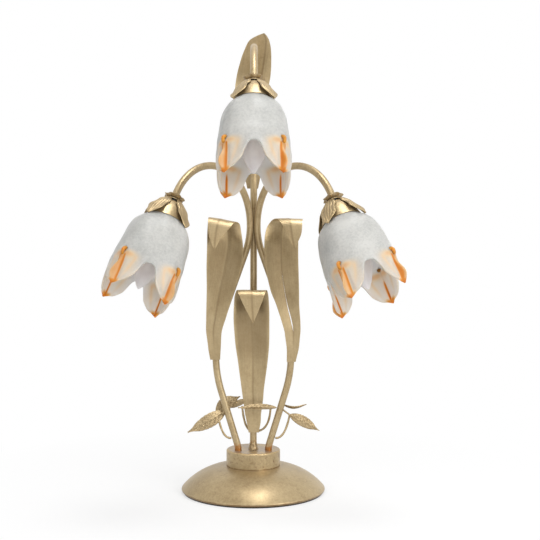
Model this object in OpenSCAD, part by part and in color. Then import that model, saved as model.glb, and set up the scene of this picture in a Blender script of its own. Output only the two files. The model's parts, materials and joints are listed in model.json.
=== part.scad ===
// Table lamp with three drooping tulip shades on a bouquet of bent tubes.
// Origin: centre of the base's underside. X to the right, Y to the rear, Z up. Millimetres.

/* [Base] */
// Outside diameter of the base over its rolled rim
base_d = 200; // [190:1:230]
// Height of the dome's flat top above the table
dome_h = 36; // [35:1:44]
// How far the dome's curve rises over a straight cone
dome_bulge = 7; // [4:0.5:9]
// Sheet thickness of the spun dome
dome_wall = 1.2; // [0.8:0.1:2]
// Diameter of the bead rolled into the dome's rim
rim_bead_d = 5; // [4:0.5:7]
// Thickness of the felt under the base
felt_t = 1.5; // [1:0.5:2.5]
// Diameter of the cast ballast plate inside the dome
ballast_d = 150; // [120:1:160]
// Thickness of the ballast plate
ballast_t = 10; // [6:1:11]

/* [Collar] */
// Outside diameter of the round collar that holds the stems
collar_d = 75; // [70:1:90]
// Height of the collar above the dome
collar_h = 23; // [22:1:30]
// Thickness of the collar's side wall
collar_wall = 2; // [1.5:0.1:3]
// Thickness of the collar's top plate
collar_top_t = 3; // [2:0.5:4]

/* [Stems] */
// Outside diameter of the bent tubes
tube_d = 9.5; // [8:0.5:10]
// Wall thickness of the tubes
tube_wall = 1.2; // [0.8:0.1:1.6]
// Distance of each outer stem's foot from the middle
foot_x = 21; // [19:0.5:22]
// Lean of an outer stem as it leaves its foot, degrees
lean_out = 16.9; // [15:0.1:18]
// Lean of an outer stem back to the middle, degrees
lean_in = 19.6; // [18:0.1:21]
// Bend radius at the foot of an outer stem
foot_bend_r = 25; // [20:1:30]
// Bend radius of the bow
bow_r = 169; // [120:1:200]
// Bend radius where the stems meet
meet_bend_r = 103; // [90:1:130]
// Height at which the outer stems stand upright and touch
meet_z = 371; // [362:1:380]
// Bend radius of all three lamp arms
arm_r = 78.5; // [74:0.5:82]
// Turn of an outer arm's bend, degrees
side_bend = 150.5; // [146:0.5:154]
// Turn of the middle arm's bend, degrees
top_bend = 156; // [152:0.5:158]
// Heading of the outer arms away from the front, degrees
side_spread = 40; // [36:1:44]
// Height at which the middle stem starts its bend
top_bend_z = 523.5; // [512:0.5:530]

/* [Shades] */
// Length of a shade from its flat top to the petal tips
shade_h = 115; // [110:1:120]
// Depth of the arches between the petals
arch_h = 38.5; // [34:0.5:42]
// Radius of a shade on the flats between the petals, at the mouth
shade_flat_r = 45.5; // [44:0.5:48]
// Extra radius at the petals
petal_r_add = 3.5; // [2:0.5:5]
// Glass thickness
glass_t = 3; // [2.5:0.5:3.5]
// How far the pinched fin stands out of each petal
fin_h = 11.5; // [8:0.5:13]
// Turn of the left shade about its own axis, degrees
turn_left = 38; // [0:1:89]
// Turn of the right shade about its own axis, degrees
turn_right = 31; // [0:1:89]
// Turn of the middle shade about its own axis, degrees
turn_top = 0; // [0:1:89]

/* [Bulbs] */
// Diameter of a candle bulb
bulb_d = 35; // [33:1:36]
// Overall length of a candle bulb
bulb_l = 100; // [96:1:102]

/* [Leaves] */
// Thickness of the sheet the long leaves are cut from
leaf_t = 1; // [0.8:0.1:1.5]
// Greatest width of the long leaves
leaf_w = 47; // [42:1:50]
// Diameter of the twig wires
twig_d = 3; // [2.5:0.1:3.5]

/* [Hidden] */
$fn = 48;

fit = 0.2;            // clearance of sliding and seated pieces

// colours of the real object
gold = [0.72, 0.63, 0.47];
gold_dark = [0.55, 0.46, 0.33];
gold_grey = [0.62, 0.58, 0.48];
steel = [0.66, 0.67, 0.68];
iron = [0.24, 0.24, 0.25];
glass = [0.88, 0.88, 0.87];
black = [0.07, 0.07, 0.07];
porcelain = [0.93, 0.92, 0.88];

// ---- base levels and fasteners
base_r = base_d / 2;
bead_r = rim_bead_d / 2;
bead_z = felt_t + bead_r;
collar_r = collar_d / 2;
collar_z = dome_h;
collar_top = dome_h + collar_h;
bolt_d = 8;
bolt_head_h = 5.3;
bolt_head_d = 15;
washer_d = 24;
washer_t = 1.6;
head_gap = 1;
ballast_z = felt_t + head_gap + bolt_head_h + washer_t;
bridge_lip = 5;
bridge_lip_t = 1.5;
bridge_w = 16;
bridge_t = 3;
bridge_z = dome_h + bridge_lip_t;
nut_h = 5;
nut_d = 15;
wire_hole_d = 28;
wire_hole_y = 21;
sleeve_d = 16;
stem_nut_d = 17.3;
stem_nut_h = 4;
foot_z = collar_top - collar_top_t - stem_nut_h - 1.5;

// ---- stems
tube_r = tube_d / 2;
bore_r = tube_r - tube_wall;
wire_r = bore_r - 0.6;
centre_y = -2;
pair_x = tube_r + fit / 2;
side_y = centre_y - sqrt(pow(tube_d + fit, 2) - pow(pair_x, 2));
foot_rise = collar_top + 1 - foot_z;
tail = 20;
meet_run = 1;         // straight bit between the last bend of the bow and the arm's bend
lap = 0.05;           // a straight run reaches this far into the bends next to it
hair = 0.01;          // and is this much thicker than they are

// lengths of the straight runs that carry an outer stem from its foot to the meeting point
run_x = pair_x - foot_x - foot_bend_r * (1 - cos(lean_out))
    - bow_r * (cos(lean_in) - cos(lean_out)) + meet_bend_r * (1 - cos(lean_in));
run_z = meet_z - foot_z - foot_rise - foot_bend_r * sin(lean_out)
    - bow_r * (sin(lean_out) + sin(lean_in)) - meet_bend_r * sin(lean_in) - meet_run;
run_out = (run_x * cos(lean_in) + run_z * sin(lean_in)) / sin(lean_out + lean_in);
run_in = (run_z * sin(lean_out) - run_x * cos(lean_out)) / sin(lean_out + lean_in);

// heading of an outer arm, seen from its own foot
function side_heading(side) = -side * (90 - side_spread);
top_heading = -90;

// a step is [heading of the bend, bend radius, bend angle, straight length]
function side_steps(side) = [
    [0, 0, 0, foot_rise],
    [0, foot_bend_r, lean_out, run_out],
    [180, bow_r, lean_out + lean_in, run_in],
    [0, meet_bend_r, lean_in, meet_run],
    [side_heading(side), arm_r, side_bend, 0]
];
top_steps = [
    [0, 0, 0, top_bend_z - foot_z],
    [top_heading, arm_r, top_bend, 0]
];

// ---- lamp levels, measured along the lamp's axis from the arm's visible end
cup_z = 8;
cup_r = 12.8;
cup_rise = 5;
calyx_z = cup_z;
calyx_ring_r = 9.5;
calyx_ring_t = 1;
spacer_r = 8;
spacer_h = 3;
fitter_z = calyx_z + calyx_ring_t + spacer_h;
fitter_t = 0.8;
fitter_r = 26.5;
arm_nut_d = 17;
arm_nut_h = 4;
holder_z = fitter_z + fitter_t + arm_nut_h;
holder_cap_r = 8;
holder_r = 17;
skirt_r = 14.3;
seat_z = 36;
skirt_l = 26;
holder_body_z = seat_z - 12;
ring_h = 4;
ring_r = 20;
shade_z = seat_z;
shade_hole_r = skirt_r + 2 * fit;
bulb_cap_r = 6.9;
bulb_foot_h = 2;
bulb_wall = 1;
foot_hole_r = 3.6;
foot_gap = 0.3;       // between the foot contact and what it touches in use
bulb_z = shade_z - 1;
socket_r = bulb_cap_r + 2 * fit;
mouth_r = 11;
contact_h = 3;
contact_r = 2.4;

// ---------- paths, made of bends and straight runs ----------

// carries the children to the end of one step
module after_step(step) {
    r = step[1];
    a = step[2];
    rotate([0, 0, step[0]])
        translate([r * (1 - cos(a)), 0, r * sin(a)])
            rotate([0, a, 0])
                rotate([0, 0, -step[0]])
                    translate([0, 0, step[3]])
                        children();
}

// carries the children to the end of all steps
module along(steps, first = 0) {
    if (first == len(steps)) children();
    else after_step(steps[first]) along(steps, first + 1) children();
}

module ring_profile(outer, inner) {
    difference() {
        circle(r = outer);
        if (inner > 0) circle(r = inner);
    }
}

// one bend followed by one straight
module step_tube(step, outer, inner) {
    r = step[1];
    a = step[2];
    if (a > 0)
        rotate([0, 0, step[0]])
            translate([r, 0, 0])
                rotate([90, 0, 180])
                    rotate_extrude(angle = a, $fn = 96)
                        translate([r, 0]) ring_profile(outer, inner);
    if (step[3] > 0)
        after_step([step[0], r, a, 0])
            straight_tube(step[3], outer, inner);
}

module straight_tube(length, outer, inner) {
    translate([0, 0, -lap])
        linear_extrude(length + 2 * lap)
            ring_profile(outer + hair, inner - hair);
}

module tube_run(steps, outer, inner, first = 0) {
    if (first < len(steps)) {
        step_tube(steps[first], outer, inner);
        after_step(steps[first]) tube_run(steps, outer, inner, first + 1);
    }
}

module side_foot(side) {
    translate([0, side_y, foot_z])
        rotate([0, 0, side > 0 ? 0 : 180])
            translate([foot_x, 0, 0])
                children();
}

module centre_foot() {
    translate([0, centre_y, foot_z]) children();
}

module at_side_lamp(side) {
    side_foot(side)
        along(side_steps(side))
            rotate([0, 0, side_heading(side)])
                children();
}

module at_top_lamp() {
    centre_foot()
        along(top_steps)
            rotate([0, 0, top_heading])
                children();
}

// children at all three lamps
module at_lamps() {
    at_side_lamp(-1) children();
    at_top_lamp() children();
    at_side_lamp(1) children();
}

// ---------- curves and meshes ----------

// points of a circular arc from p to q that bulges to the left by s
function arc_points(p, q, s, n) =
    let (c = norm(q - p), r = (c * c / 4 + s * s) / (2 * s), d = (q - p) / c,
         m = (p + q) / 2 + [d[1], -d[0]] * (r - s),
         half = asin(c / 2 / r), mid = atan2((p + q)[1] / 2 - m[1], (p + q)[0] / 2 - m[0]))
    [for (i = [0:n]) m + r * [cos(mid + half * (1 - 2 * i / n)), sin(mid + half * (1 - 2 * i / n))]];

function bezier2(a, b, c, t) = a * (1 - t) * (1 - t) + b * 2 * t * (1 - t) + c * t * t;
function bezier3(a, b, c, d, t) = bezier2(a, b, c, t) * (1 - t) + bezier2(b, c, d, t) * t;
function unit(v) = v / norm(v);

// solid between a front and a back grid of points
module sheet(front, back) {
    rows = len(front);
    cols = len(front[0]);
    shift = rows * cols;
    points = concat([for (row = front) each row], [for (row = back) each row]);
    quads = [for (i = [0:rows - 2]) for (j = [0:cols - 2])
        [i * cols + j, i * cols + j + 1, (i + 1) * cols + j + 1, (i + 1) * cols + j]];
    rim = concat(
        [for (j = [0:cols - 1]) j],
        [for (i = [1:rows - 1]) i * cols + cols - 1],
        [for (j = [cols - 2:-1:0]) (rows - 1) * cols + j],
        [for (i = [rows - 2:-1:1]) i * cols]);
    faces = concat(
        [for (q = quads) each [[q[2], q[1], q[0]], [q[3], q[2], q[0]]]],
        [for (q = quads) each [[q[0] + shift, q[1] + shift, q[2] + shift],
                               [q[0] + shift, q[2] + shift, q[3] + shift]]],
        [for (k = [0:len(rim) - 1])
            let (a = rim[k], b = rim[(k + 1) % len(rim)])
            each [[a, b, a + shift], [b, b + shift, a + shift]]]);
    polyhedron(points, faces);
}

// round rod of radius r along a list of points
module rod(path, r, sides = 8) {
    n = len(path);
    tangent = [for (i = [0:n - 1]) unit(path[min(i + 1, n - 1)] - path[max(i - 1, 0)])];
    points = [for (i = [0:n - 1])
        let (u = unit(cross(tangent[i], [0.13, 1, 0.07])), v = cross(tangent[i], u))
        for (k = [0:sides - 1]) path[i] + r * (cos(360 * k / sides) * u + sin(360 * k / sides) * v)];
    faces = concat(
        [[for (k = [0:sides - 1]) k]],
        [for (i = [0:n - 2]) for (k = [0:sides - 1])
            let (a = i * sides + k, b = i * sides + (k + 1) % sides)
            each [[b + sides, b, a], [a + sides, b + sides, a]]],
        [[for (k = [sides - 1:-1:0]) (n - 1) * sides + k]]);
    polyhedron(points, faces);
}

// ---------- base ----------

dome_top_point = [collar_r, dome_h];
dome_rim_point = [base_r - bead_r * (1 - cos(40)), bead_z + bead_r * sin(40)];
dome_outer = arc_points(dome_top_point, dome_rim_point, dome_bulge, 18);
dome_inner = arc_points(dome_top_point - [dome_wall * 0.3, dome_wall],
    dome_rim_point - [dome_wall * 0.75, dome_wall * 0.7], dome_bulge, 18);

// the cable's grommet sits square on the dome's slope at the rear
grommet_at = dome_outer[15];
grommet_lean = atan2((dome_outer[14] - dome_outer[16])[1], (dome_outer[16] - dome_outer[14])[0]);
grommet_bore = 6.5;
grommet_neck = 9;
grommet_flange = 13;

module at_grommet() {
    translate([0, grommet_at[0], grommet_at[1]])
        rotate([-grommet_lean, 0, 0])
            children();
}

module base_felt() {
    color(iron)
        linear_extrude(felt_t) ring_profile(base_r - bead_r, 0);
}

module base_dome() {
    color(gold)
        difference() {
            union() {
                rotate_extrude($fn = 128)
                    polygon(concat([[bolt_d / 2 + fit, dome_h]], dome_outer,
                        [for (i = [len(dome_inner) - 1:-1:0]) dome_inner[i]],
                        [[bolt_d / 2 + fit, dome_h - dome_wall]]));
                rotate_extrude($fn = 128)
                    translate([base_r - bead_r, bead_z]) circle(r = bead_r, $fn = 24);
            }
            translate([0, wire_hole_y, dome_h - dome_wall * 2])
                cylinder(d = wire_hole_d, h = dome_wall * 3);
            at_grommet()
                translate([0, 0, -dome_wall * 3])
                    cylinder(d = grommet_neck + 2 * fit, h = dome_wall * 6);
        }
}

module ballast_plate() {
    color(iron)
        translate([0, 0, ballast_z])
            linear_extrude(ballast_t) ring_profile(ballast_d / 2, bolt_d / 2 + fit);
}

module base_bolt() {
    top = bridge_z + bridge_t + nut_h + 0.5;
    color(steel) {
        translate([0, 0, ballast_z - washer_t - bolt_head_h])
            cylinder(d = bolt_head_d, h = bolt_head_h, $fn = 6);
        translate([0, 0, ballast_z - washer_t - lap])
            cylinder(d = bolt_d, h = top - ballast_z + washer_t + lap);
    }
}

module base_washer() {
    color(steel)
        translate([0, 0, ballast_z - washer_t])
            linear_extrude(washer_t) ring_profile(washer_d / 2, bolt_d / 2 + fit);
}

module spacer_sleeve() {
    z = ballast_z + ballast_t;
    color(steel)
        translate([0, 0, z])
            linear_extrude(dome_h - dome_wall - z) ring_profile(sleeve_d / 2, bolt_d / 2 + fit);
}

module base_collar() {
    edge = 2.5;
    lip_r = collar_r - bridge_lip - collar_wall;
    color(gold_grey)
        difference() {
            rotate_extrude($fn = 128) {
                polygon([[lip_r, collar_z], [collar_r, collar_z], [collar_r, collar_top - edge],
                    [collar_r - edge, collar_top - edge], [collar_r - edge, collar_top],
                    [0, collar_top], [0, collar_top - collar_top_t],
                    [collar_r - collar_wall, collar_top - collar_top_t],
                    [collar_r - collar_wall, bridge_z], [lip_r, bridge_z]]);
                intersection() {
                    translate([collar_r - edge, collar_top - edge]) circle(r = edge);
                    translate([collar_r - edge, collar_top - edge]) square(edge);
                }
            }
            for (side = [-1, 1])
                side_foot(side) cylinder(r = tube_r + fit / 2, h = collar_h);
            centre_foot() cylinder(r = tube_r + fit / 2, h = collar_h);
        }
}

module collar_bridge() {
    color(steel)
        translate([0, 0, bridge_z])
            linear_extrude(bridge_t)
                difference() {
                    intersection() {
                        circle(r = collar_r - collar_wall - fit);
                        square([collar_d, bridge_w], center = true);
                    }
                    circle(d = bolt_d + 2 * fit);
                }
}

module bridge_nut() {
    color(steel)
        translate([0, 0, bridge_z + bridge_t])
            linear_extrude(nut_h)
                difference() {
                    circle(d = nut_d, $fn = 6);
                    circle(d = bolt_d + 2 * fit);
                }
}

// its inner flange clears the sheet, which curves away from it
module cable_grommet() {
    lip = 1.6;
    inner_z = -dome_wall - fit - 0.4;
    color(black)
        at_grommet()
            rotate_extrude()
                polygon([[grommet_bore / 2, inner_z - lip], [grommet_flange / 2, inner_z - lip],
                    [grommet_flange / 2, inner_z], [grommet_neck / 2, inner_z],
                    [grommet_neck / 2, fit], [grommet_flange / 2, fit],
                    [grommet_flange / 2 - lip / 2, lip + fit], [grommet_bore / 2, lip + fit]]);
}

block_size = [30, 14, 11];
lead_r = 1.3;
block_y = 45;

module terminal_block() {
    z = ballast_z + ballast_t;
    poles = 3;
    pitch = block_size[0] / poles;
    color(porcelain)
        translate([-block_size[0] / 2, block_y - block_size[1] / 2, z])
            difference() {
                cube(block_size);
                for (i = [0:poles - 1])
                    translate([pitch * (i + 0.5), block_size[1] / 2, block_size[2] - 5])
                        cylinder(d = 4.5, h = 6);
            }
}

// each lead starts level under its stem, drops through the dome's hole and ends at the block's front
module base_wires() {
    block_z = ballast_z + ballast_t + block_size[2] / 2;
    start_z = foot_z - lap - fit - lead_r;
    block_front = block_y - block_size[1] / 2;
    color(black)
        for (side = [-1, 0, 1]) {
            x = side * foot_x;
            y = side == 0 ? centre_y : side_y;
            rod([for (i = [0:9]) bezier3([x, y - lead_r, start_z], [x * 0.9, y + 16, start_z],
                [side * 5, wire_hole_y - 1, dome_h + 2],
                [side * block_size[0] / 3, block_front - fit - lead_r * 0.7, block_z], i / 9)], lead_r);
        }
}

// ---------- stems ----------

module stem_nuts() {
    color(steel) {
        for (side = [-1, 1])
            side_foot(side) stem_nut();
        centre_foot() stem_nut();
    }
}

module stem_nut() {
    translate([0, 0, collar_top - collar_top_t - stem_nut_h - foot_z])
        linear_extrude(stem_nut_h)
            difference() {
                circle(d = stem_nut_d, $fn = 6);
                circle(r = tube_r + fit / 2);
            }
}

// cone of weld around the middle stem's foot
module foot_weld() {
    color(gold_dark)
        translate([0, centre_y, collar_top])
            rotate_extrude()
                polygon([[tube_r + fit / 2, 0], [tube_r + 2.6, 0], [tube_r + 1.8, 4], [tube_r + fit / 2, 9]]);
}

module outer_stem(side) {
    color(gold)
        side_foot(side) {
            tube_run(side_steps(side), tube_r, bore_r);
            along(side_steps(side)) straight_tube(tail, tube_r, bore_r);
        }
}

module stem_left() {
    outer_stem(-1);
}

module stem_right() {
    outer_stem(1);
}

module stem_centre() {
    color(gold)
        centre_foot() {
            tube_run(top_steps, tube_r, bore_r);
            along(top_steps) straight_tube(tail, tube_r, bore_r);
        }
}

module stem_wires() {
    color(black) {
        for (side = [-1, 1])
            side_foot(side) lamp_wire(side_steps(side));
        centre_foot() lamp_wire(top_steps);
    }
}

module lamp_wire(steps) {
    tube_run(steps, wire_r, 0);
    along(steps) straight_tube(tail + contact_h - lap, wire_r, 0);
}

// ---------- long leaves ----------

// where an outer stem's bow reaches furthest out
bow_x = foot_x + foot_bend_r * (1 - cos(lean_out)) + run_out * sin(lean_out) + bow_r * (1 - cos(lean_out));
bow_z = foot_z + foot_rise + (foot_bend_r + bow_r) * sin(lean_out) + run_out * cos(lean_out);

// midrib as [forward, up, heading] after length s: upright part, fold, hanging tip
function leaf_mid(s, up_l, up_lean, bow, fold_r, fold_a) =
    s <= up_l ? arc_walk([0, 0, up_lean], s, bow * s / up_l)
    : let (a = arc_walk([0, 0, up_lean], up_l, bow), fold_l = fold_r * fold_a * PI / 180)
    s <= up_l + fold_l ? arc_walk(a, s - up_l, fold_a * (s - up_l) / fold_l)
    : arc_walk(arc_walk(a, fold_l, fold_a), s - up_l - fold_l, 0);

function arc_walk(from, length, turn) =
    abs(turn) < 0.01
        ? [from[0] + length * sin(from[2]), from[1] + length * cos(from[2]), from[2]]
        : let (r = length * 180 / PI / turn)
          [from[0] + r * (cos(from[2]) - cos(from[2] + turn)),
           from[1] + r * (sin(from[2] + turn) - sin(from[2])), from[2] + turn];

function column(table, k) = [for (row = table) [row[0], row[k]]];

// Folded leaf that stands at the origin and faces the viewer, with its tip hung forward.
// A row of the outline is [share of the length, midrib to the right, width to the left, to the right],
// the last three as shares of the greatest width.
module folded_leaf(up_l, up_lean, bow, fold_r, fold_a, tip_l, outline, vee) {
    fold_l = fold_r * fold_a * PI / 180;
    total = up_l + fold_l + tip_l;
    stations = concat(
        [for (i = [0:11]) up_l * i / 12],
        [for (i = [0:7]) up_l + fold_l * i / 8],
        [for (i = [0:4]) up_l + fold_l + tip_l * i / 4]);
    grid = [for (side = [0, 1]) [for (s = stations)
        let (m = leaf_mid(s, up_l, up_lean, bow, fold_r, fold_a), share = s / total,
             middle = lookup(share, column(outline, 1)) * leaf_w,
             left = lookup(share, column(outline, 2)) * leaf_w,
             right = lookup(share, column(outline, 3)) * leaf_w,
             slope = tan(vee) * lookup(share, [[0, 0], [0.25, 1], [0.66, 1], [0.8, 0.2], [1, 0.3]]))
        [for (t = [-1, -0.5, 0, 0.5, 1])
            let (x = t < 0 ? t * left : t * right, lift = abs(x) * slope + side * leaf_t)
            [middle + x, -(m[0] + lift * cos(m[2])), m[1] - lift * sin(m[2])]]]];
    sheet(grid[1], grid[0]);
}

left_outline = [[0, 0, 0.15, 0.14], [0.07, -0.05, 0.16, 0.21], [0.15, -0.06, 0.2, 0.24],
    [0.24, 0, 0.26, 0.31], [0.4, 0.14, 0.38, 0.43], [0.54, 0.29, 0.53, 0.49], [0.67, 0.39, 0.61, 0.41],
    [0.77, 0.35, 0.55, 0.38], [0.81, 0.19, 0.37, 0.43], [0.86, 0.09, 0.28, 0.39],
    [0.93, 0.03, 0.19, 0.17], [1, 0, 0.01, 0.01]];
right_outline = [[0, 0, 0.14, 0.12], [0.09, 0.05, 0.2, 0.17], [0.16, 0.05, 0.25, 0.2],
    [0.22, 0, 0.28, 0.25], [0.32, -0.13, 0.32, 0.34], [0.41, -0.22, 0.41, 0.42],
    [0.53, -0.3, 0.46, 0.48], [0.63, -0.31, 0.5, 0.48], [0.71, -0.31, 0.46, 0.48],
    [0.77, -0.26, 0.36, 0.45], [0.82, -0.13, 0.36, 0.42], [0.86, -0.07, 0.28, 0.35],
    [0.92, -0.03, 0.14, 0.28], [1, 0.04, 0.01, 0.01]];
centre_outline = [[0, 0, 0.15, 0.15], [0.05, 0, 0.2, 0.2], [0.11, -0.02, 0.24, 0.24],
    [0.18, -0.02, 0.29, 0.29], [0.25, -0.03, 0.33, 0.33], [0.38, -0.03, 0.42, 0.42],
    [0.52, -0.05, 0.5, 0.5], [0.65, -0.07, 0.52, 0.52], [0.75, -0.07, 0.5, 0.5],
    [0.81, -0.06, 0.43, 0.43], [0.85, -0.06, 0.38, 0.38], [1, -0.02, 0.01, 0.01]];
top_outline = [[0, 0, 0.16, 0.16], [0.18, -0.01, 0.32, 0.32], [0.41, 0.05, 0.48, 0.42],
    [0.62, 0.15, 0.68, 0.29], [0.73, 0.26, 0.73, 0.26], [0.83, 0.33, 0.68, 0.21], [0.91, 0.37, 0.58, 0.15],
    [0.95, 0.38, 0.49, 0.1], [0.985, 0.34, 0.21, 0.06], [1, 0.32, 0.01, 0.01]];

module leaf_left() {
    color(gold)
        translate([-bow_x - 0.6, side_y - tube_r - fit, bow_z - 5])
            folded_leaf(188, 0, 6, 7, 160, 37, left_outline, 24);
}

module leaf_right() {
    color(gold)
        translate([bow_x + 0.6, side_y - tube_r - fit, bow_z - 8])
            folded_leaf(192, 0, 6, 7, 160, 36, right_outline, 24);
}

module leaf_centre() {
    color(gold)
        translate([0.5, centre_y - tube_r - fit, collar_top + 24])
            folded_leaf(195, 0, 8, 6.5, 160, 39, centre_outline, 16);
}

module leaf_top() {
    color(gold)
        translate([-1.5, centre_y + tube_r + fit + leaf_t, meet_z + 51])
            folded_leaf(147, -3, 6, 150, 20, 15, top_outline, -7);
}

// ---------- twigs ----------

// x of an outer stem's middle at height z, on its lower straight run
function stem_x(z) = foot_x + foot_bend_r * (1 - cos(lean_out))
    + (z - foot_z - foot_rise - foot_bend_r * sin(lean_out)) * tan(lean_out);

twig_r = twig_d / 2;
low_z = collar_top + 17;      // where the low twigs leave the outer stems
seat = tube_r + fit;
low_left_end = [-49.5, -5, 109];
low_right_end = [50.5, -8, 108];
mid_left_end = [-15.6, -8, 120];
mid_right_end = [23.6, -20, 118];
far_right_end = [41, 1, 121];
twig_seat = seat + twig_r * 0.55;     // the wire's end face leans, so it stands off a little

// Small pressed leaf from a to b, w wide, facing the side given by up.
// It bows out by bow and its midrib sweeps sideways by sweep.
module small_leaf(a, b, w, up, bow = 3, sweep = 0) {
    rows = 8;
    along_leaf = unit(b - a);
    across_leaf = unit(cross(along_leaf, up));
    face = cross(across_leaf, along_leaf);
    base = a + along_leaf * (twig_r + 2 * fit);
    grid = [for (side = [0, 1]) [for (i = [0:rows])
        let (t = i / rows, half = max(0.6, w / 2 * pow(sin(180 * pow(t, 0.8)), 0.8)))
        [for (k = [-1, 0, 1])
            base + (b - base) * t + across_leaf * (half * k + sweep * sin(180 * t))
            + face * (bow * sin(180 * t) + abs(k) * half * 0.3 + (side - 0.5) * leaf_t)]]];
    sheet(grid[1], grid[0]);
}

module twig_wire(a, b, c) {
    color(gold_dark)
        rod([for (i = [0:7]) bezier2(a, b, c, i / 7)], twig_r);
}

module twig_wire_low_left() {
    twig_wire([-stem_x(low_z) - twig_seat, side_y, low_z], [-44, -10, low_z - 2], low_left_end);
}
module twig_wire_mid_left() {
    twig_wire([-twig_seat, centre_y, collar_top + 27], [-13, centre_y - 2, collar_top + 32], mid_left_end);
}
module twig_wire_mid_right() {
    twig_wire([twig_seat, centre_y, collar_top + 25], [22, centre_y, collar_top + 27], mid_right_end);
}
module twig_wire_low_right() {
    twig_wire([stem_x(low_z) + twig_seat, side_y, low_z], [44, -10, low_z - 2], low_right_end);
}

module twig_leaf_low_left() {
    color(gold) small_leaf(low_left_end, [-90.7, -17, 85], 19, [0.1, -0.85, 0.5], 3, -3);
}
module twig_leaf_high_left() {
    color(gold) small_leaf(low_left_end, [-19.4, 7, 130.5], 17, [0.2, 0.95, -0.3], 2, 3);
}
module twig_leaf_mid_left() {
    color(gold) small_leaf(mid_left_end, [-33, 0, 127], 13, [-0.2, -0.6, 0.8], 1);
}
module twig_leaf_mid_right() {
    color(gold) small_leaf(mid_right_end, [-15, -31, 121], 10, [0, -0.2, 1], 1);
}

// this leaf has its own stalk, behind the right stem
module twig_leaf_far_right() {
    z = collar_top + 40;
    color(gold) {
        rod([for (i = [0:5]) bezier2([stem_x(z), side_y + twig_seat, z], [stem_x(z) + 3, 3, z + 2],
            far_right_end, i / 5)], 1, 6);
        small_leaf(far_right_end - [0.8, 0, 0], [74, -2, 121.4], 9, [0, -0.3, -1], 3.5);
    }
}
module twig_leaf_low_right() {
    color(gold) small_leaf(low_right_end, [91, -20, 88], 17, [-0.1, -0.6, 0.8], 2, 2);
}

// ---------- lamp pieces, drawn along the lamp's own axis ----------

// small dish with six lobes where the arm meets the calyx
module cup() {
    lobes = 6;
    color(gold)
        intersection() {
            rotate_extrude()
                polygon([[tube_r + fit, cup_z - 1.2], [cup_r * 0.6, cup_z - 2.2], [cup_r, cup_z - cup_rise],
                    [cup_r, cup_z - cup_rise + 1], [cup_r * 0.62, cup_z - 1], [cup_r * 0.6, cup_z],
                    [tube_r + fit, cup_z]]);
            union() {
                cylinder(r = cup_r * 0.68, h = cup_z);
                for (i = [0:lobes - 1])
                    rotate([0, 0, 360 * i / lobes])
                        translate([cup_r * 0.64, 0, 0]) cylinder(r = cup_r * 0.36, h = cup_z);
            }
        }
}

// flower calyx: a flat ring with four serrated leaves that drape over the shade
module calyx() {
    tip = [31.5, 42];
    root = [calyx_ring_r - 1.2, calyx_z + 0.1];
    knee = [19.5, 11];
    rows = 12;
    widths = [[0, 8], [0.25, 17], [0.5, 23], [0.7, 22], [0.85, 15], [1, 2]];
    color(gold) {
        translate([0, 0, calyx_z])
            linear_extrude(calyx_ring_t) ring_profile(calyx_ring_r, tube_r + fit);
        for (k = [0:3])
            rotate([0, 0, 45 + 90 * k]) {
                grid = [for (side = [0, 1]) [for (i = [0:rows])
                    let (t = i / rows, p = bezier2(root, knee, tip, t),
                         tooth = i > 2 && i < rows && i % 2 == 1 ? 0.86 : 1,
                         half = lookup(t, widths) / 2 * tooth)
                    [for (c = [-1, 0, 1])
                        [p[0] - abs(c) * half * 0.12 - side * 0.8 * sin(60 * t), c * half,
                         p[1] + abs(c) * half * 0.25 * min(1, t * 4) + side * 0.8]]]];
                sheet(grid[0], grid[1]);
            }
    }
}

fitter_outer = [for (i = [0:10])
    bezier2([tube_r + 4, fitter_z], [19.5, fitter_z + 1], [fitter_r, 38.5], i / 10)];

module fitter() {
    color(gold)
        rotate_extrude()
            polygon(concat([[tube_r + fit, fitter_z]], fitter_outer,
                [for (i = [10:-1:0]) fitter_outer[i] + [-fitter_t * i / 10, fitter_t * (1 - i / 10)]],
                [[tube_r + fit, fitter_z + fitter_t]]));
}

module arm_nut() {
    translate([0, 0, fitter_z + fitter_t])
        linear_extrude(arm_nut_h)
            difference() {
                circle(d = arm_nut_d, $fn = 6);
                circle(r = tube_r + fit);
            }
}

// screw lampholder with its threaded skirt
module holder() {
    floor_z = bulb_z - contact_h;
    skirt_end = seat_z + skirt_l;
    color(porcelain)
        rotate_extrude()
            polygon([[tube_r + fit, holder_z], [holder_cap_r, holder_z], [holder_cap_r, holder_body_z - 2],
                [holder_r, holder_body_z], [holder_r, seat_z], [skirt_r, seat_z], [skirt_r, skirt_end],
                [mouth_r, skirt_end], [mouth_r, skirt_end - 9], [socket_r, skirt_end - 9],
                [socket_r, floor_z], [wire_r + fit, floor_z], [wire_r + fit, tail + fit],
                [tube_r + fit, tail + fit]]);
}

module holder_contact() {
    translate([0, 0, bulb_z - contact_h])
        cylinder(r = contact_r, h = contact_h - foot_gap);
}

module shade_ring() {
    color(porcelain)
        translate([0, 0, shade_z + glass_t])
            linear_extrude(ring_h) ring_profile(ring_r, skirt_r + fit);
}

// ---------- glass shade ----------

// radius of the outer face on the flats, by depth below the flat top
flat_curve = [[0, ring_r + 1.5], [1, 23.5], [5, 27.5], [11, 33], [18, 37.3], [31, 40.8], [49, 42.8],
    [62, 44.5], [78, shade_flat_r], [shade_h, shade_flat_r + 0.5]];

// depth of the lower edge by angle from the arch's middle
function edge_depth(a) = shade_h - arch_h
    + arch_h * lookup(a, [[0, 0], [6, 0.03], [10, 0.13], [14, 0.34], [18, 0.55], [24, 0.7],
        [30, 0.82], [38, 0.9], [45, 1]]);

// outline of the fin: a small curled knob, then a wing that ends at the tip
function fin_rise(z) = lookup(z - shade_h, [[-43, 0], [-41, 0.4], [-37, 0.42], [-34, 0.12], [-30, 0.25],
    [-13, 1], [-9, 0.8], [0, 0]]) * fin_h;

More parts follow.
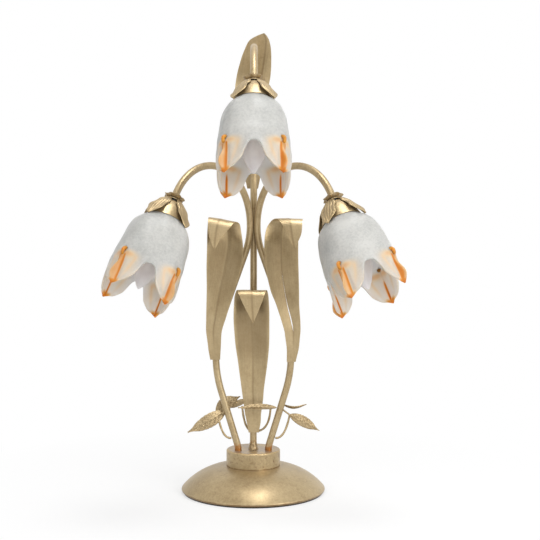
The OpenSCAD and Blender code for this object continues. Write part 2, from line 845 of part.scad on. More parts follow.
petal_steps = [0, 2, 5, 11, 19, 27, 32, 38, 45];
ring_angles = [for (q = [0:3]) each concat(
    [for (i = [len(petal_steps) - 2:-1:1]) 45 + 90 * q - petal_steps[i]],
    [for (i = [0:len(petal_steps) - 1]) 45 + 90 * q + petal_steps[i]])];
shade_rows = [0, 0.04, 0.1, 0.2, 0.4, 0.62, 0.73, 0.86, 1];

function shade_point(angle, v, inner) =
    let (from_petal = abs((angle + 360) % 90 - 45), z = edge_depth(45 - from_petal) * v,
         petal = pow(cos(2 * from_petal), 2) * petal_r_add * min(1, z / 40),
         fin = inner ? 0 : fin_rise(z) * max(0, 1 - from_petal / 4),
         r = lookup(z, flat_curve) + petal + fin - (inner ? glass_t * min(1, 0.4 + z / 12) : 0),
         sink = inner ? glass_t * max(0, 1 - z / 12) : 0)
    [r * cos(angle), r * sin(angle), z + sink];

module shade() {
    n = len(ring_angles);
    rows = len(shade_rows);
    hole = [for (side = [0, 1]) [for (a = ring_angles)
        [shade_hole_r * cos(a), shade_hole_r * sin(a), side * glass_t]]];
    outer = [for (v = shade_rows) [for (a = ring_angles) shade_point(a, v, false)]];
    inner = [for (i = [rows - 1:-1:0]) [for (a = ring_angles) shade_point(a, shade_rows[i], true)]];
    loops = concat([hole[0]], outer, inner, [hole[1]]);
    m = len(loops);
    faces = [for (i = [0:m - 1]) for (k = [0:n - 1])
        let (a = i * n + k, b = i * n + (k + 1) % n, c = ((i + 1) % m) * n + (k + 1) % n,
             d = ((i + 1) % m) * n + k)
        each [[c, b, a], [d, c, a]]];
    color(glass)
        translate([0, 0, shade_z])
            polyhedron([for (l = loops) each l], faces);
}

// ---------- candle bulb ----------

bulb_tip = bulb_z + bulb_l;
bulb_neck_z = bulb_z + 19;
bulb_curve = concat(
    [for (i = [0:8]) bezier3([bulb_cap_r + 0.3, bulb_neck_z], [bulb_cap_r + 1, bulb_neck_z + 12],
        [bulb_d / 2, bulb_neck_z + 14], [bulb_d / 2, bulb_neck_z + 36], i / 8)],
    [for (i = [1:10]) bezier3([bulb_d / 2, bulb_neck_z + 36], [bulb_d / 2, bulb_neck_z + 56],
        [5, bulb_tip - 3], [0, bulb_tip], i / 10)]);

// hollow envelope on its cap; the foot closes the cap's hole
module bulb() {
    k = 1 - bulb_wall / (bulb_d / 2);
    widest = bulb_neck_z + 36;
    inside = [for (p = bulb_curve) [p[0] * k, widest + (p[1] - widest) * k]];
    foot_top = bulb_z + bulb_foot_h;
    color(porcelain)
        rotate_extrude()
            polygon(concat([[foot_hole_r, foot_top], [bulb_cap_r - 2, foot_top],
                [bulb_cap_r, foot_top + 2.5], [bulb_cap_r, bulb_neck_z]], bulb_curve,
                [for (i = [len(inside) - 1:-1:0]) inside[i]],
                [[inside[0][0], foot_top + 3], [foot_hole_r, foot_top + 1]]));
}

// foot contact and its insulator
module bulb_foot() {
    color(black)
        translate([0, 0, bulb_z])
            cylinder(r1 = contact_r, r2 = foot_hole_r + 0.6, h = bulb_foot_h - foot_gap);
}

module cup_left() { at_side_lamp(-1) cup(); }
module cup_top() { at_top_lamp() cup(); }
module cup_right() { at_side_lamp(1) cup(); }
module calyx_left() { at_side_lamp(-1) rotate([0, 0, turn_left]) calyx(); }
module calyx_top() { at_top_lamp() rotate([0, 0, turn_top]) calyx(); }
module calyx_right() { at_side_lamp(1) rotate([0, 0, turn_right]) calyx(); }
module fitter_left() { at_side_lamp(-1) fitter(); }
module fitter_top() { at_top_lamp() fitter(); }
module fitter_right() { at_side_lamp(1) fitter(); }
module holder_left() { at_side_lamp(-1) holder(); }
module holder_top() { at_top_lamp() holder(); }
module holder_right() { at_side_lamp(1) holder(); }
module shade_left() { at_side_lamp(-1) rotate([0, 0, turn_left]) shade(); }
module shade_top() { at_top_lamp() rotate([0, 0, turn_top]) shade(); }
module shade_right() { at_side_lamp(1) rotate([0, 0, turn_right]) shade(); }
module shade_ring_left() { at_side_lamp(-1) shade_ring(); }
module shade_ring_top() { at_top_lamp() shade_ring(); }
module shade_ring_right() { at_side_lamp(1) shade_ring(); }
module bulb_left() { at_side_lamp(-1) bulb(); }
module bulb_top() { at_top_lamp() bulb(); }
module bulb_right() { at_side_lamp(1) bulb(); }
module bulb_foot_left() { at_side_lamp(-1) bulb_foot(); }
module bulb_foot_top() { at_top_lamp() bulb_foot(); }
module bulb_foot_right() { at_side_lamp(1) bulb_foot(); }

module arm_spacers() {
    color(black)
        at_lamps()
            translate([0, 0, calyx_z + calyx_ring_t])
                linear_extrude(spacer_h) ring_profile(spacer_r, tube_r + fit);
}

module arm_nuts() {
    color(steel) at_lamps() arm_nut();
}

module holder_contacts() {
    color(steel) at_lamps() holder_contact();
}

base_felt();
base_dome();
ballast_plate();
base_bolt();
base_washer();
spacer_sleeve();
base_collar();
collar_bridge();
bridge_nut();
cable_grommet();
terminal_block();
base_wires();
stem_nuts();
foot_weld();
stem_left();
stem_centre();
stem_right();
stem_wires();
leaf_left();
leaf_centre();
leaf_right();
leaf_top();
twig_wire_low_left();
twig_wire_mid_left();
twig_wire_mid_right();
twig_wire_low_right();
twig_leaf_low_left();
twig_leaf_high_left();
twig_leaf_mid_left();
twig_leaf_mid_right();
twig_leaf_far_right();
twig_leaf_low_right();
cup_left();
cup_top();
cup_right();
arm_spacers();
calyx_left();
calyx_top();
calyx_right();
fitter_left();
fitter_top();
fitter_right();
arm_nuts();
holder_left();
holder_top();
holder_right();
holder_contacts();
shade_left();
shade_top();
shade_right();
shade_ring_left();
shade_ring_top();
shade_ring_right();
bulb_left();
bulb_top();
bulb_right();
bulb_foot_left();
bulb_foot_top();
bulb_foot_right();
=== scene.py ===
import json
import bpy
import numpy as np
from mathutils import Matrix


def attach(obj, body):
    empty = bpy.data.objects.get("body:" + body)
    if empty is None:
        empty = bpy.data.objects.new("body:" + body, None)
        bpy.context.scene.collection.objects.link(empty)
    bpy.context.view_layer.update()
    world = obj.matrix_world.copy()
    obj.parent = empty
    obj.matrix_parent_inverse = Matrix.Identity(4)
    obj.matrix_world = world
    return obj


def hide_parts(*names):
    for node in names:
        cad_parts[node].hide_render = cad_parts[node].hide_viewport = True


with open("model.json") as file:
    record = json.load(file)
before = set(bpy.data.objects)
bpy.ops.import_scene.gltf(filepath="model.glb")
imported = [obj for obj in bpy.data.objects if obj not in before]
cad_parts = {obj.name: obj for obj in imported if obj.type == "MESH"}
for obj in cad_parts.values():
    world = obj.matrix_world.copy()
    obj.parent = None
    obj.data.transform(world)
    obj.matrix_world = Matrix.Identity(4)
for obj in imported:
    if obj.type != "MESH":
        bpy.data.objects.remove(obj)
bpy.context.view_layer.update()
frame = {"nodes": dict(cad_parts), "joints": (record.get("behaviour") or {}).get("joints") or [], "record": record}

mm = 0.001
print("frame loaded,", len(frame["nodes"]), "nodes")


# camera, lamps and floor

cameraView = {
    "place": (0.0, -1.5, 0.3698),  # metres
    "turnRight": 0.87,             # degrees
    "lookDown": 2.32,
    "roll": 0.13,
    "focalPixels": 1079.9,
    "imagePixels": 540,
    "sensor": 36,                  # mm
}

studio = {
    "worldLevel": 0.46,
    "aim": (0, -0.05, 0.33),       # where the lamps point
    "lamps": {
        "key": {"place": (1.2, -1.35, 0.9), "size": 1.0, "power": 17.0},
        "fill": {"place": (-0.9, -1.5, 1.0), "size": 1.0, "power": 5.0},
        "above": {"place": (0.22, -0.35, 2.1), "size": 0.8, "power": 19.0},
    },
    "floorReach": 6.0,
    "floorLevel": -0.0003,
    "floorColours": ((247, 247, 247), (250, 250, 250)),
}


def addCamera(view):
    turn, down, roll = np.radians([view["turnRight"], view["lookDown"], view["roll"]])
    forward = np.array([np.sin(turn) * np.cos(down), np.cos(turn) * np.cos(down), -np.sin(down)])
    level = np.array([np.cos(turn), -np.sin(turn), 0])
    above = np.cross(level, forward)
    across = level * np.cos(roll) + above * np.sin(roll)
    upright = above * np.cos(roll) - level * np.sin(roll)
    camera = bpy.data.objects.new("camera", bpy.data.cameras.new("camera"))
    camera.data.sensor_width = view["sensor"]
    camera.data.lens = view["sensor"] * view["focalPixels"] / view["imagePixels"]
    rows = [[across[i], upright[i], -forward[i], view["place"][i]] for i in range(3)]
    camera.matrix_world = Matrix(rows + [[0, 0, 0, 1]])
    bpy.context.scene.collection.objects.link(camera)
    bpy.context.scene.camera = camera


def lookRows(axis):
    # x, y and z axes whose z lies along the given axis and whose x is level
    z = axis / np.linalg.norm(axis)
    x = np.cross([0, 0, 1], z)
    x /= np.linalg.norm(x)
    return [x.tolist(), np.cross(z, x).tolist(), z.tolist()]


def addSoftbox(name, place, size, power):
    lamp = bpy.data.lights.new(name, "AREA")
    lamp.size = size
    lamp.energy = power
    holder = bpy.data.objects.new(name, lamp)
    away = np.array(place) - np.array(studio["aim"])  # an area lamp shines along its own -z
    holder.matrix_world = Matrix.Translation(place) @ Matrix(lookRows(away)).transposed().to_4x4()
    bpy.context.scene.collection.objects.link(holder)


# material building blocks

def linear(red, green, blue):
    share = np.array([red, green, blue]) / 255
    low, high = share / 12.92, ((share + 0.055) / 1.055) ** 2.4
    return (*np.where(share < 0.04045, low, high), 1.0)


def addNode(tree, kind, settings=None, values=None, links=None):
    node = tree.nodes.new("ShaderNode" + kind)
    for key, value in (settings or {}).items():
        setattr(node, key, value)
    for key, value in (values or {}).items():
        node.inputs[key].default_value = value
    for key, socket in (links or {}).items():
        tree.links.new(socket, node.inputs[key])
    return node


def newMaterial(name, sockets):
    material = bpy.data.materials.new(name)
    material.use_nodes = True
    tree = material.node_tree
    shader = tree.nodes["Principled BSDF"]
    for key, value in sockets.items():
        shader.inputs[key].default_value = value
    return material, tree, shader


def coordinates(tree, output="Object", scale=(1, 1, 1)):
    source = addNode(tree, "TexCoord").outputs[output]
    return addNode(tree, "Mapping", values={"Scale": scale}, links={"Vector": source}).outputs[0]


def levelAbove(tree):
    # height above the floor in metres
    return addNode(tree, "SeparateXYZ", links={"Vector": coordinates(tree)}).outputs["Z"]


def noise(tree, vector, scale, detail=4.0, roughness=0.55, distortion=0.0):
    values = {"Scale": scale, "Detail": detail, "Roughness": roughness, "Distortion": distortion}
    return addNode(tree, "TexNoise", values=values, links={"Vector": vector}).outputs["Fac"]


def ramp(tree, factor, stops):
    node = addNode(tree, "ValToRGB", links={"Fac": factor})
    elements = node.color_ramp.elements
    while len(elements) < len(stops):
        elements.new(0.5)
    for element, (place, colour) in zip(elements, stops):
        element.position = place
        element.color = colour if isinstance(colour, tuple) else (colour, colour, colour, 1)
    return node.outputs["Color"]


def feed(tree, socket, value):
    # a socket takes a link from another socket, or a plain value
    if isinstance(value, bpy.types.NodeSocket):
        tree.links.new(value, socket)
    else:
        socket.default_value = value


def mix(tree, factor, first, second):
    node = tree.nodes.new("ShaderNodeMix")
    node.data_type = "RGBA"
    for place, value in ((0, factor), (6, first), (7, second)):  # the colour sockets are 6 and 7
        feed(tree, node.inputs[place], value)
    return node.outputs[2]


def maths(tree, operation, first, second=0.0, clamp=False):
    node = tree.nodes.new("ShaderNodeMath")
    node.operation = operation
    node.use_clamp = clamp
    for socket, value in zip(node.inputs, (first, second)):
        feed(tree, socket, value)
    return node.outputs[0]


def addBump(tree, shader, height, strength, distance):
    values = {"Strength": strength, "Distance": distance}
    bump = addNode(tree, "Bump", values=values, links={"Height": height})
    tree.links.new(bump.outputs[0], shader.inputs["Normal"])


def attribute(tree, name):
    return addNode(tree, "Attribute", settings={"attribute_name": name}).outputs["Fac"]


def shownRays(tree):
    # 1 where the camera, a reflection or a refraction looks at it
    path = addNode(tree, "LightPath")
    seen = maths(tree, "MAXIMUM", path.outputs["Is Camera Ray"], path.outputs["Is Transmission Ray"])
    return maths(tree, "MAXIMUM", seen, path.outputs["Is Glossy Ray"])


# antique gold lacquer on metal

goldFinish = {
    "light": (198, 178, 140),
    "middle": (178, 157, 119),
    "dark": (150, 129, 92),
    "worn": (112, 84, 52),
    "scorched": (164, 106, 44),
    # fold is the colour of painted shade in creases, grooves and behind the folded tips of the blades
    "fold": (118, 96, 62),
    "cutEdge": (214, 190, 142),
    "lighterEdge": (206, 178, 130),
    # the next colour is a painted grey reflection for the collar's top face
    "topReflection": (158, 144, 136),
    # pits is the colour of painted shade in the sunk cells of the small pressed leaves
    "pits": (120, 101, 74),
    "metallic": 0.62,
    "roughness": 0.36,
    "grain": 0.06 * mm,
    "clouds": 26,  # the pattern scales are per metre
    "flecks": 420,
    "spots": 140,
    "streaks": {"blade": (14, 900, 1), "up": (800, 800, 22), "even": (260, 260, 260)},
}


def goldTone(name):
    return linear(*goldFinish[name])


def goldMetal(name, streaks="even", wear=0.35, browned=0.0, patch=1.0):
    # clouds of three tones, brushed streaks, flecks and worn spots; a blade's streaks follow its UV
    look = goldFinish
    sockets = {"Metallic": look["metallic"], "Roughness": look["roughness"]}
    material, tree, shader = newMaterial(name, sockets)
    place = coordinates(tree)
    clouds = noise(tree, place, look["clouds"] * patch, 5, 0.6)
    flecks = noise(tree, place, look["flecks"], 3, 0.6)
    brushed = coordinates(tree, "UV" if streaks == "blade" else "Object", look["streaks"][streaks])
    lines = noise(tree, brushed, 1.0, 4, 0.6)
    tones = [(0.3, goldTone("dark")), (0.48, goldTone("middle")), (0.72, goldTone("light"))]
    base = ramp(tree, clouds, tones)
    lineTones = ramp(tree, lines, [(0.3, goldTone("dark")), (0.7, goldTone("light"))])
    base = mix(tree, 0.35, base, lineTones)
    fleckTones = ramp(tree, flecks, [(0.35, goldTone("worn")), (0.65, goldTone("light"))])
    base = mix(tree, 0.12, base, fleckTones)
    spots = noise(tree, place, look["spots"], 8, 0.75, 0.8)
    worn = maths(tree, "MULTIPLY", ramp(tree, spots, [(0.54, 0.0), (0.68, 1.0)]), wear)
    base = mix(tree, worn, base, goldTone("worn"))
    if browned:
        base = mix(tree, browned, base, goldTone("worn"))
    tree.links.new(base, shader.inputs["Base Color"])
    rough = ramp(tree, lines, [(0.2, look["roughness"] - 0.09), (0.8, look["roughness"] + 0.12)])
    tree.links.new(rough, shader.inputs["Roughness"])
    addBump(tree, shader, mix(tree, 0.5, lines, flecks), 0.25, look["grain"])
    return material, tree, shader, base


def leafGold():
    # brushed along the blade, with painted shade where the fold value is high, lighter at the cut edge
    material, tree, shader, base = goldMetal("leafGold", streaks="blade", wear=0.2)
    # the fold value is painted shade: along a blade's crease, on the upper blade behind its folded tip, and in the
    # grooves between a calyx leaf's ribs
    paintedFoldShade = maths(tree, "MULTIPLY", attribute(tree, "fold"), 0.55)
    base = mix(tree, paintedFoldShade, base, goldTone("fold"))
    atEdge = maths(tree, "MULTIPLY", attribute(tree, "edge"), 0.3)
    base = mix(tree, atEdge, base, goldTone("cutEdge"))
    tree.links.new(base, shader.inputs["Base Color"])
    return material


def stemGold():
    # heat marks at the feet fade out up the tube, with a ragged upper end about 30 mm high
    material, tree, shader, base = goldMetal("stemGold", streaks="up", wear=0.55)
    height = levelAbove(tree)
    ragged = noise(tree, coordinates(tree), 190, 5, 0.7)
    level = maths(tree, "ADD", height, maths(tree, "MULTIPLY", ragged, 30 * mm))
    scorched = ramp(tree, maths(tree, "MULTIPLY", level, 4), [(0.315, 0.9), (0.34, 0.0)])
    base = mix(tree, scorched, base, goldTone("scorched"))
    tree.links.new(base, shader.inputs["Base Color"])
    return material


baseLooks = {
    # levels in metres: darker below the first, lighter at the second, a painted grey reflection above the third
    "collarGold": {"levels": (0.0366, 0.0578, 0.0588), "wear": 1.0, "patch": 1.0},
    "domeGold": {"levels": (0.0035, 0.08, 0.085), "wear": 0.35, "patch": 0.6},  # the dome ends lower
}


def baseGold(name):
    # a ramp runs from 0 to 1, so heights are in tenths of a metre there
    look = baseLooks[name]
    material, tree, shader, base = goldMetal(name, wear=look["wear"], patch=look["patch"])
    uneven = maths(tree, "SUBTRACT", noise(tree, coordinates(tree), 90, 5, 0.7), 0.5)
    ragged = maths(tree, "MULTIPLY", uneven, 6 * mm)
    height = maths(tree, "MULTIPLY", maths(tree, "ADD", levelAbove(tree), ragged), 10)
    low, edge, top = (10 * level for level in look["levels"])
    darkerBelow = ramp(tree, height, [(low, 0.75), (low + 0.012, 0.0)])
    base = mix(tree, darkerBelow, base, goldTone("worn"))
    lighterEdgeBand = ramp(tree, height, [(edge - 0.012, 0.0), (edge, 0.45), (top, 0.3)])
    base = mix(tree, lighterEdgeBand, base, goldTone("lighterEdge"))
    # painted reflection: the collar's top face is painted grey as if it reflected its grey surroundings
    paintedTopReflection = ramp(tree, height, [(top, 0.0), (top + 0.004, 0.6)])
    base = mix(tree, paintedTopReflection, base, goldTone("topReflection"))
    tree.links.new(base, shader.inputs["Base Color"])
    return material


def pressedLeafGold():
    # net of veins pressed into a small leaf, from its own UV in metres; the sunk cells between the veins are painted
    # darker as painted shade
    material, tree, shader, base = goldMetal("pressedLeafGold", wear=0.5)
    cell = coordinates(tree, "UV", (330, 420, 1))
    kind = {"feature": "DISTANCE_TO_EDGE"}
    net = addNode(tree, "TexVoronoi", settings=kind, values={"Scale": 1.0}, links={"Vector": cell})
    pits = ramp(tree, net.outputs["Distance"], [(0.02, 0.0), (0.22, 1.0)])
    # painted shade in the sunk cells
    base = mix(tree, maths(tree, "MULTIPLY", pits, 0.6), base, goldTone("pits"))
    tree.links.new(base, shader.inputs["Base Color"])
    addBump(tree, shader, pits, -0.5, 0.5 * mm)
    return material


# glass

glassFinish = {
    "clear": (213, 213, 209),
    "shadow": (184, 185, 182),
    # the inside faces are painted this pale colour as painted light coming through the glass
    "inner": (250, 246, 242),
    "tan": (234, 206, 170),
    "orange": (222, 148, 50),
    "deep": (204, 102, 14),
    "sockets": {
        "Roughness": 0.38, "IOR": 1.35, "Transmission Weight": 0.35,
        "Subsurface Weight": 0.7, "Subsurface Radius": (0.01, 0.01, 0.01), "Subsurface Scale": 1.0,
    },
}
bulbFinish = {
    "milk": (216, 213, 214),
    "pale": (234, 232, 232),
    "sockets": {"Roughness": 0.3, "Subsurface Weight": 0.3, "Subsurface Radius": (0.01, 0.01, 0.01)},
}


def tulipGlass(look=glassFinish):
    # frosted and clouded, painted paler inside as painted light coming through the glass, and painted by the blush
    # attribute from tan to deep orange
    material, tree, shader = newMaterial("tulipGlass", look["sockets"])
    place = coordinates(tree)
    frost = noise(tree, place, 330, 5, 0.65, 0.4)
    cloud = noise(tree, place, 32, 3, 0.5)
    paint = {name: linear(*look[name]) for name in ("clear", "shadow", "inner", "tan", "orange", "deep")}
    grain = mix(tree, 0.45, frost, cloud)
    clear = ramp(tree, grain, [(0.36, paint["shadow"]), (0.6, paint["clear"])])
    # painted light: the inside faces are painted paler
    clear = mix(tree, attribute(tree, "inner"), clear, paint["inner"])
    blush = attribute(tree, "blush")
    shift = maths(tree, "MULTIPLY", maths(tree, "SUBTRACT", cloud, 0.5), 0.25)
    uneven = maths(tree, "ADD", blush, shift, True)
    stops = [(0.0, paint["clear"]), (0.3, paint["tan"]), (0.55, paint["orange"]), (0.9, paint["deep"])]
    painted = ramp(tree, blush, [(0.02, 0.0), (0.34, 1.0)])
    colour = mix(tree, painted, clear, ramp(tree, uneven, stops))
    tree.links.new(colour, shader.inputs["Base Color"])
    addBump(tree, shader, frost, 0.22, 0.35 * mm)
    return material


def opalBulb(look=bulbFinish):
    material, tree, shader = newMaterial("opalBulb", look["sockets"])
    place = coordinates(tree)
    stops = [(0.3, linear(*look["milk"])), (0.7, linear(*look["pale"]))]
    tree.links.new(ramp(tree, noise(tree, place, 60, 4), stops), shader.inputs["Base Color"])
    addBump(tree, shader, noise(tree, place, 500, 2), 0.1, 0.1 * mm)
    return material


# what hardly shows

plainFinishes = {
    # slot: (dark colour, light colour, grain per metre, roughness, metallic)
    "steel": ((140, 142, 146), (184, 186, 190), 300, 0.38, 0.9),
    "contact_brass": ((170, 138, 70), (214, 184, 112), 300, 0.3, 0.95),
    "ballast_iron": ((48, 47, 46), (78, 76, 74), 220, 0.75, 0.5),
    "felt": ((22, 22, 22), (48, 47, 46), 900, 0.98, 0.0),
    "black_rubber": ((16, 16, 16), (34, 34, 34), 500, 0.7, 0.0),
    "black_plastic": ((8, 8, 8), (22, 22, 22), 400, 0.5, 0.0),
    "wire_sleeve": ((20, 20, 21), (40, 40, 42), 400, 0.5, 0.0),
    "white_plastic": ((222, 219, 210), (240, 238, 232), 120, 0.3, 0.0),
}


def plainMaterial(slot, dark, light, grain, roughness, metallic):
    material, tree, shader = newMaterial(slot + "Finish", {"Metallic": metallic})
    speckle = noise(tree, coordinates(tree), grain, 5, 0.6)
    tones = ramp(tree, speckle, [(0.35, linear(*dark)), (0.65, linear(*light))])
    tree.links.new(tones, shader.inputs["Base Color"])
    rough = ramp(tree, speckle, [(0.3, roughness - 0.06), (0.7, min(1, roughness + 0.08))])
    tree.links.new(rough, shader.inputs["Roughness"])
    addBump(tree, shader, speckle, 0.2, 0.2 * mm)
    return material


# surfaces from arrays

def smoothCurve(x, table):
    # cubic through the table's points, whose slopes are the harmonic mean of the stretches beside them
    xs, ys = np.array(table, float).T
    step = np.diff(xs)
    slope = np.diff(ys) / step
    tangent = np.concatenate([slope[:1], np.zeros(len(xs) - 2), slope[-1:]])
    same = slope[:-1] * slope[1:] > 0
    safe = np.where(same, slope[:-1] * slope[1:], 1)
    tangent[1:-1] = np.where(same, 2 * safe / np.where(same, slope[:-1] + slope[1:], 1), 0)
    k = np.clip(np.searchsorted(xs, x, side="right") - 1, 0, len(xs) - 2)
    t = np.clip((x - xs[k]) / step[k], 0, 1)
    rise = ys[k] * (1 + 2 * t) * (1 - t) ** 2 + ys[k + 1] * t ** 2 * (3 - 2 * t)
    return rise + step[k] * (tangent[k] * t * (1 - t) ** 2 - tangent[k + 1] * t ** 2 * (1 - t))


def smoothStep(x, low, high):
    # 0 below low and 1 above high, joined by a cubic
    t = np.clip((x - low) / (high - low), 0, 1)
    return t * t * (3 - 2 * t)


def bell(x, middle, width):
    # a gaussian that is 1 in the middle
    return np.exp(-((x - middle) / width) ** 2)


def bezier(points, t):
    # weights (1-t)^n to t^n of three or four control points
    n = len(points) - 1
    binomial = [1, 2, 1] if n == 2 else [1, 3, 3, 1]
    t = np.asarray(t)[..., None]
    return sum(binomial[k] * (1 - t) ** (n - k) * t ** k * np.array(points[k], float) for k in range(n + 1))


def unit(vectors):
    return vectors / np.maximum(np.linalg.norm(vectors, axis=-1, keepdims=True), 1e-12)


def gridShell(points, uv=None, closeRows=False, values=None):
    # quads between neighbours of a grid whose columns close into a loop; open ends are capped by strips
    rows, columns = points.shape[:2]
    i = np.arange(rows if closeRows else rows - 1)[:, None]
    j = np.arange(columns)[None, :]
    corners = [np.broadcast_arrays(i + a, j + b) for a, b in ((0, 0), (1, 0), (1, 1), (0, 1))]
    faces = np.stack([(r % rows) * columns + c % columns for r, c in corners], -1).reshape(-1, 4)
    if uv is None:
        uv = np.zeros((rows + 1, columns + 1, 2))
    short = (rows + 1 - uv.shape[0], columns + 1 - uv.shape[1])
    uv = np.pad(uv, ((0, short[0]), (0, short[1]), (0, 0)), mode="edge")
    corner = np.stack([uv[r, c] for r, c in corners], -2).reshape(-1, 4, 2)
    if not closeRows:
        half = np.arange(columns // 2 - 1)
        for row, order in ((0, 1), (rows - 1, -1)):
            ring = [half, half + 1, columns - 2 - half, columns - 1 - half][::order]
            faces = np.concatenate([faces, row * columns + np.stack(ring, -1)])
            corner = np.concatenate([corner, np.stack([uv[row, c] for c in ring], -2)])
    extra = {name: value.reshape(-1) for name, value in (values or {}).items()}
    return {"points": points.reshape(-1, 3), "faces": faces, "uv": corner, "values": extra}


def outward(shell):
    # turns the faces round where the volume they enclose comes out negative
    a, b, c, d = (shell["points"][shell["faces"][:, k]] for k in range(4))
    volume = np.einsum("ij,ij->", a, np.cross(b, c)) + np.einsum("ij,ij->", a, np.cross(c, d))
    if volume < 0:
        shell["faces"] = shell["faces"][:, ::-1]
        shell["uv"] = shell["uv"][:, ::-1]
    return shell


def thickSheet(middle, thickness, closed=False, uv=None, values=None):
    # a sheet's two faces lie half its thickness to each side of the middle, along the middle's normal
    down = np.gradient(middle, axis=0)
    if closed:
        along = np.roll(middle, -1, 1) - np.roll(middle, 1, 1)
    else:
        along = np.gradient(middle, axis=1)
    normal = unit(np.cross(down, along))
    front, back = middle + normal * thickness / 2, middle - normal * thickness / 2
    axis = 0 if closed else 1
    points = np.concatenate([front, np.flip(back, axis)], axis)
    if uv is not None:
        uv = np.concatenate([uv, np.flip(uv, axis)], axis)
    values = {name: np.concatenate([v, np.flip(v, axis)], axis) for name, v in (values or {}).items()}
    return gridShell(points, uv, closed, values)


def tube(path, radius, sides=14, values=None):
    # a circle of the given radius carried square to the path
    tangent = unit(np.gradient(path, axis=0))
    aside = unit(np.cross(tangent, [0.13, 1, 0.07]))  # a direction that no path here runs along
    other = np.cross(tangent, aside)
    turn = np.linspace(0, 2 * np.pi, sides, endpoint=False)
    radius = np.broadcast_to(radius, (len(path),))[:, None, None]
    ring = np.cos(turn)[None, :, None] * aside[:, None] + np.sin(turn)[None, :, None] * other[:, None]
    grid = path[:, None] + radius * ring
    values = {name: np.full(grid.shape[:2], value) for name, value in (values or {}).items()}
    length = np.cumsum(np.linalg.norm(np.diff(path, axis=0, prepend=path[:1]), axis=1))
    uv = np.stack(np.broadcast_arrays(length[:, None], turn[None, :] * 0.003), -1)
    return gridShell(grid, uv, values=values)


def lathe(profile, columns=96, ripple=None):
    # a closed profile of radius and height turned round the z axis; ripple changes the grid
    turn = np.linspace(0, 2 * np.pi, columns, endpoint=False)
    profile = np.array(profile, float)
    radius = np.repeat(profile[:, :1], columns, 1)
    height = np.repeat(profile[:, 1:2], columns, 1)
    if ripple:
        radius, height = ripple(radius, height, turn[None, :])
    return gridShell(np.stack([radius * np.cos(turn), radius * np.sin(turn), height], -1), closeRows=True)


def makePiece(name, shells, material, node, body="lamp", smoothAngle=None):
    # one mesh of closed shells that stands for a CAD node; edges sharper than smoothAngle stay sharp
    shells = [outward(shell) for shell in shells]
    starts = np.cumsum([0] + [len(shell["points"]) for shell in shells[:-1]])
    points = np.concatenate([shell["points"] for shell in shells])
    faces = np.concatenate([shell["faces"] + start for shell, start in zip(shells, starts)])
    uv = np.concatenate([shell["uv"] for shell in shells])
    mesh = bpy.data.meshes.new(name)
    mesh.vertices.add(len(points))
    mesh.vertices.foreach_set("co", points.astype(np.float32).ravel())
    mesh.loops.add(faces.size)
    mesh.loops.foreach_set("vertex_index", faces.astype(np.int32).ravel())
    mesh.polygons.add(len(faces))
    mesh.polygons.foreach_set("loop_start", np.arange(0, faces.size, 4, dtype=np.int32))
    mesh.uv_layers.new(name="UVMap").data.foreach_set("uv", uv.astype(np.float32).ravel())
    for key in shells[0]["values"]:
        amounts = np.concatenate([shell["values"][key] for shell in shells])
        mesh.attributes.new(key, "FLOAT", "POINT").data.foreach_set("value", amounts.astype(np.float32))
    mesh.update(calc_edges=True)
    mesh.validate()
    mesh.shade_smooth()
    if smoothAngle:
        mesh.set_sharp_from_angle(angle=np.radians(smoothAngle))
    mesh.materials.append(material)
    piece = bpy.data.objects.new(name, mesh)
    bpy.context.scene.collection.objects.link(piece)
    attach(piece, body)
    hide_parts(node)


# where each lamp hangs: the origin and the x, y and z axes of the lamp's end of its arm

sides = ("left", "top", "right")
bulbLevel = 35  # mm from the end of the arm to the foot of the bulb


def lampPlace(side):
    joint = next(j for j in frame["joints"] if j["name"] == "bulb_turn_" + side)
    axis = unit(np.array(joint["axis"], float))
    heading = np.arctan2(axis[1], axis[0])
    across = np.array([-np.sin(heading), np.cos(heading), 0])
    origin = np.array(joint["pos_m"]) - axis * (bulbLevel * mm)
    return origin, np.stack([np.cross(across, axis), across, axis])


def hang(shell, side, turn=0):
    # from a lamp's own millimetres to the row frame
    origin, axes = lampPlace(side)
    c, s = np.cos(np.radians(turn)), np.sin(np.radians(turn))
    spin = np.array([[c, s, 0], [-s, c, 0], [0, 0, 1]])
    shell["points"] = origin + shell["points"] @ spin @ axes * mm
    return shell


# glass tulips

tulip = {
    "top": 36,           # mm from the end of the arm down to the flat top
    "height": 114.7,
    "archDepth": 38.5,
    "petalRadius": 3.5,
    "wall": 3.0,
    "lip": 1.3,
    "holeRadius": 14.7,
    "finReach": 8.1,
    "finWidth": 2.3,     # degrees
    "finLean": 1.4,      # degrees
    "flute": 0.7,
    "wobble": 0.35,
    "groove": 0.9,       # on the inside, behind the fin
    "crease": 1.1,       # on the outside, beside the fin
    "hollow": 0.7,       # above the fin
    "waist": 1.5,
    "turn": {"left": 38, "top": 0, "right": 31},
    "columns": 104,      # for each petal
    "rows": 88,
}
# shares of orange over each part of a petal
blushShares = {
    "inside": 0.8, "fin": 0.46, "creases": 0.6, "halo": 0.2, "shoulder": 0.26, "streak": 0.1, "tip": 0.8,
    "rim": 0.22,
}
# depth and radius; degrees from the arch's middle and share of its depth; level from the tip and share of the fin
tulipOutline = [[0, 21.5], [1, 23.5], [5, 27.5], [11, 33], [18, 37.3], [31, 40.8], [49, 42.8], [62, 44.5],
                [78, 45.5], [115, 46]]
archOutline = [[0, 0], [6, 0.03], [10, 0.13], [14, 0.34], [18, 0.55], [24, 0.7], [30, 0.82], [38, 0.9], [45, 1]]
finOutline = [[-43, 0], [-40, 0.2], [-37, 0.2], [-34, 0.16], [-30, 0.27], [-13, 1], [-8.5, 0.82], [0, 0]]


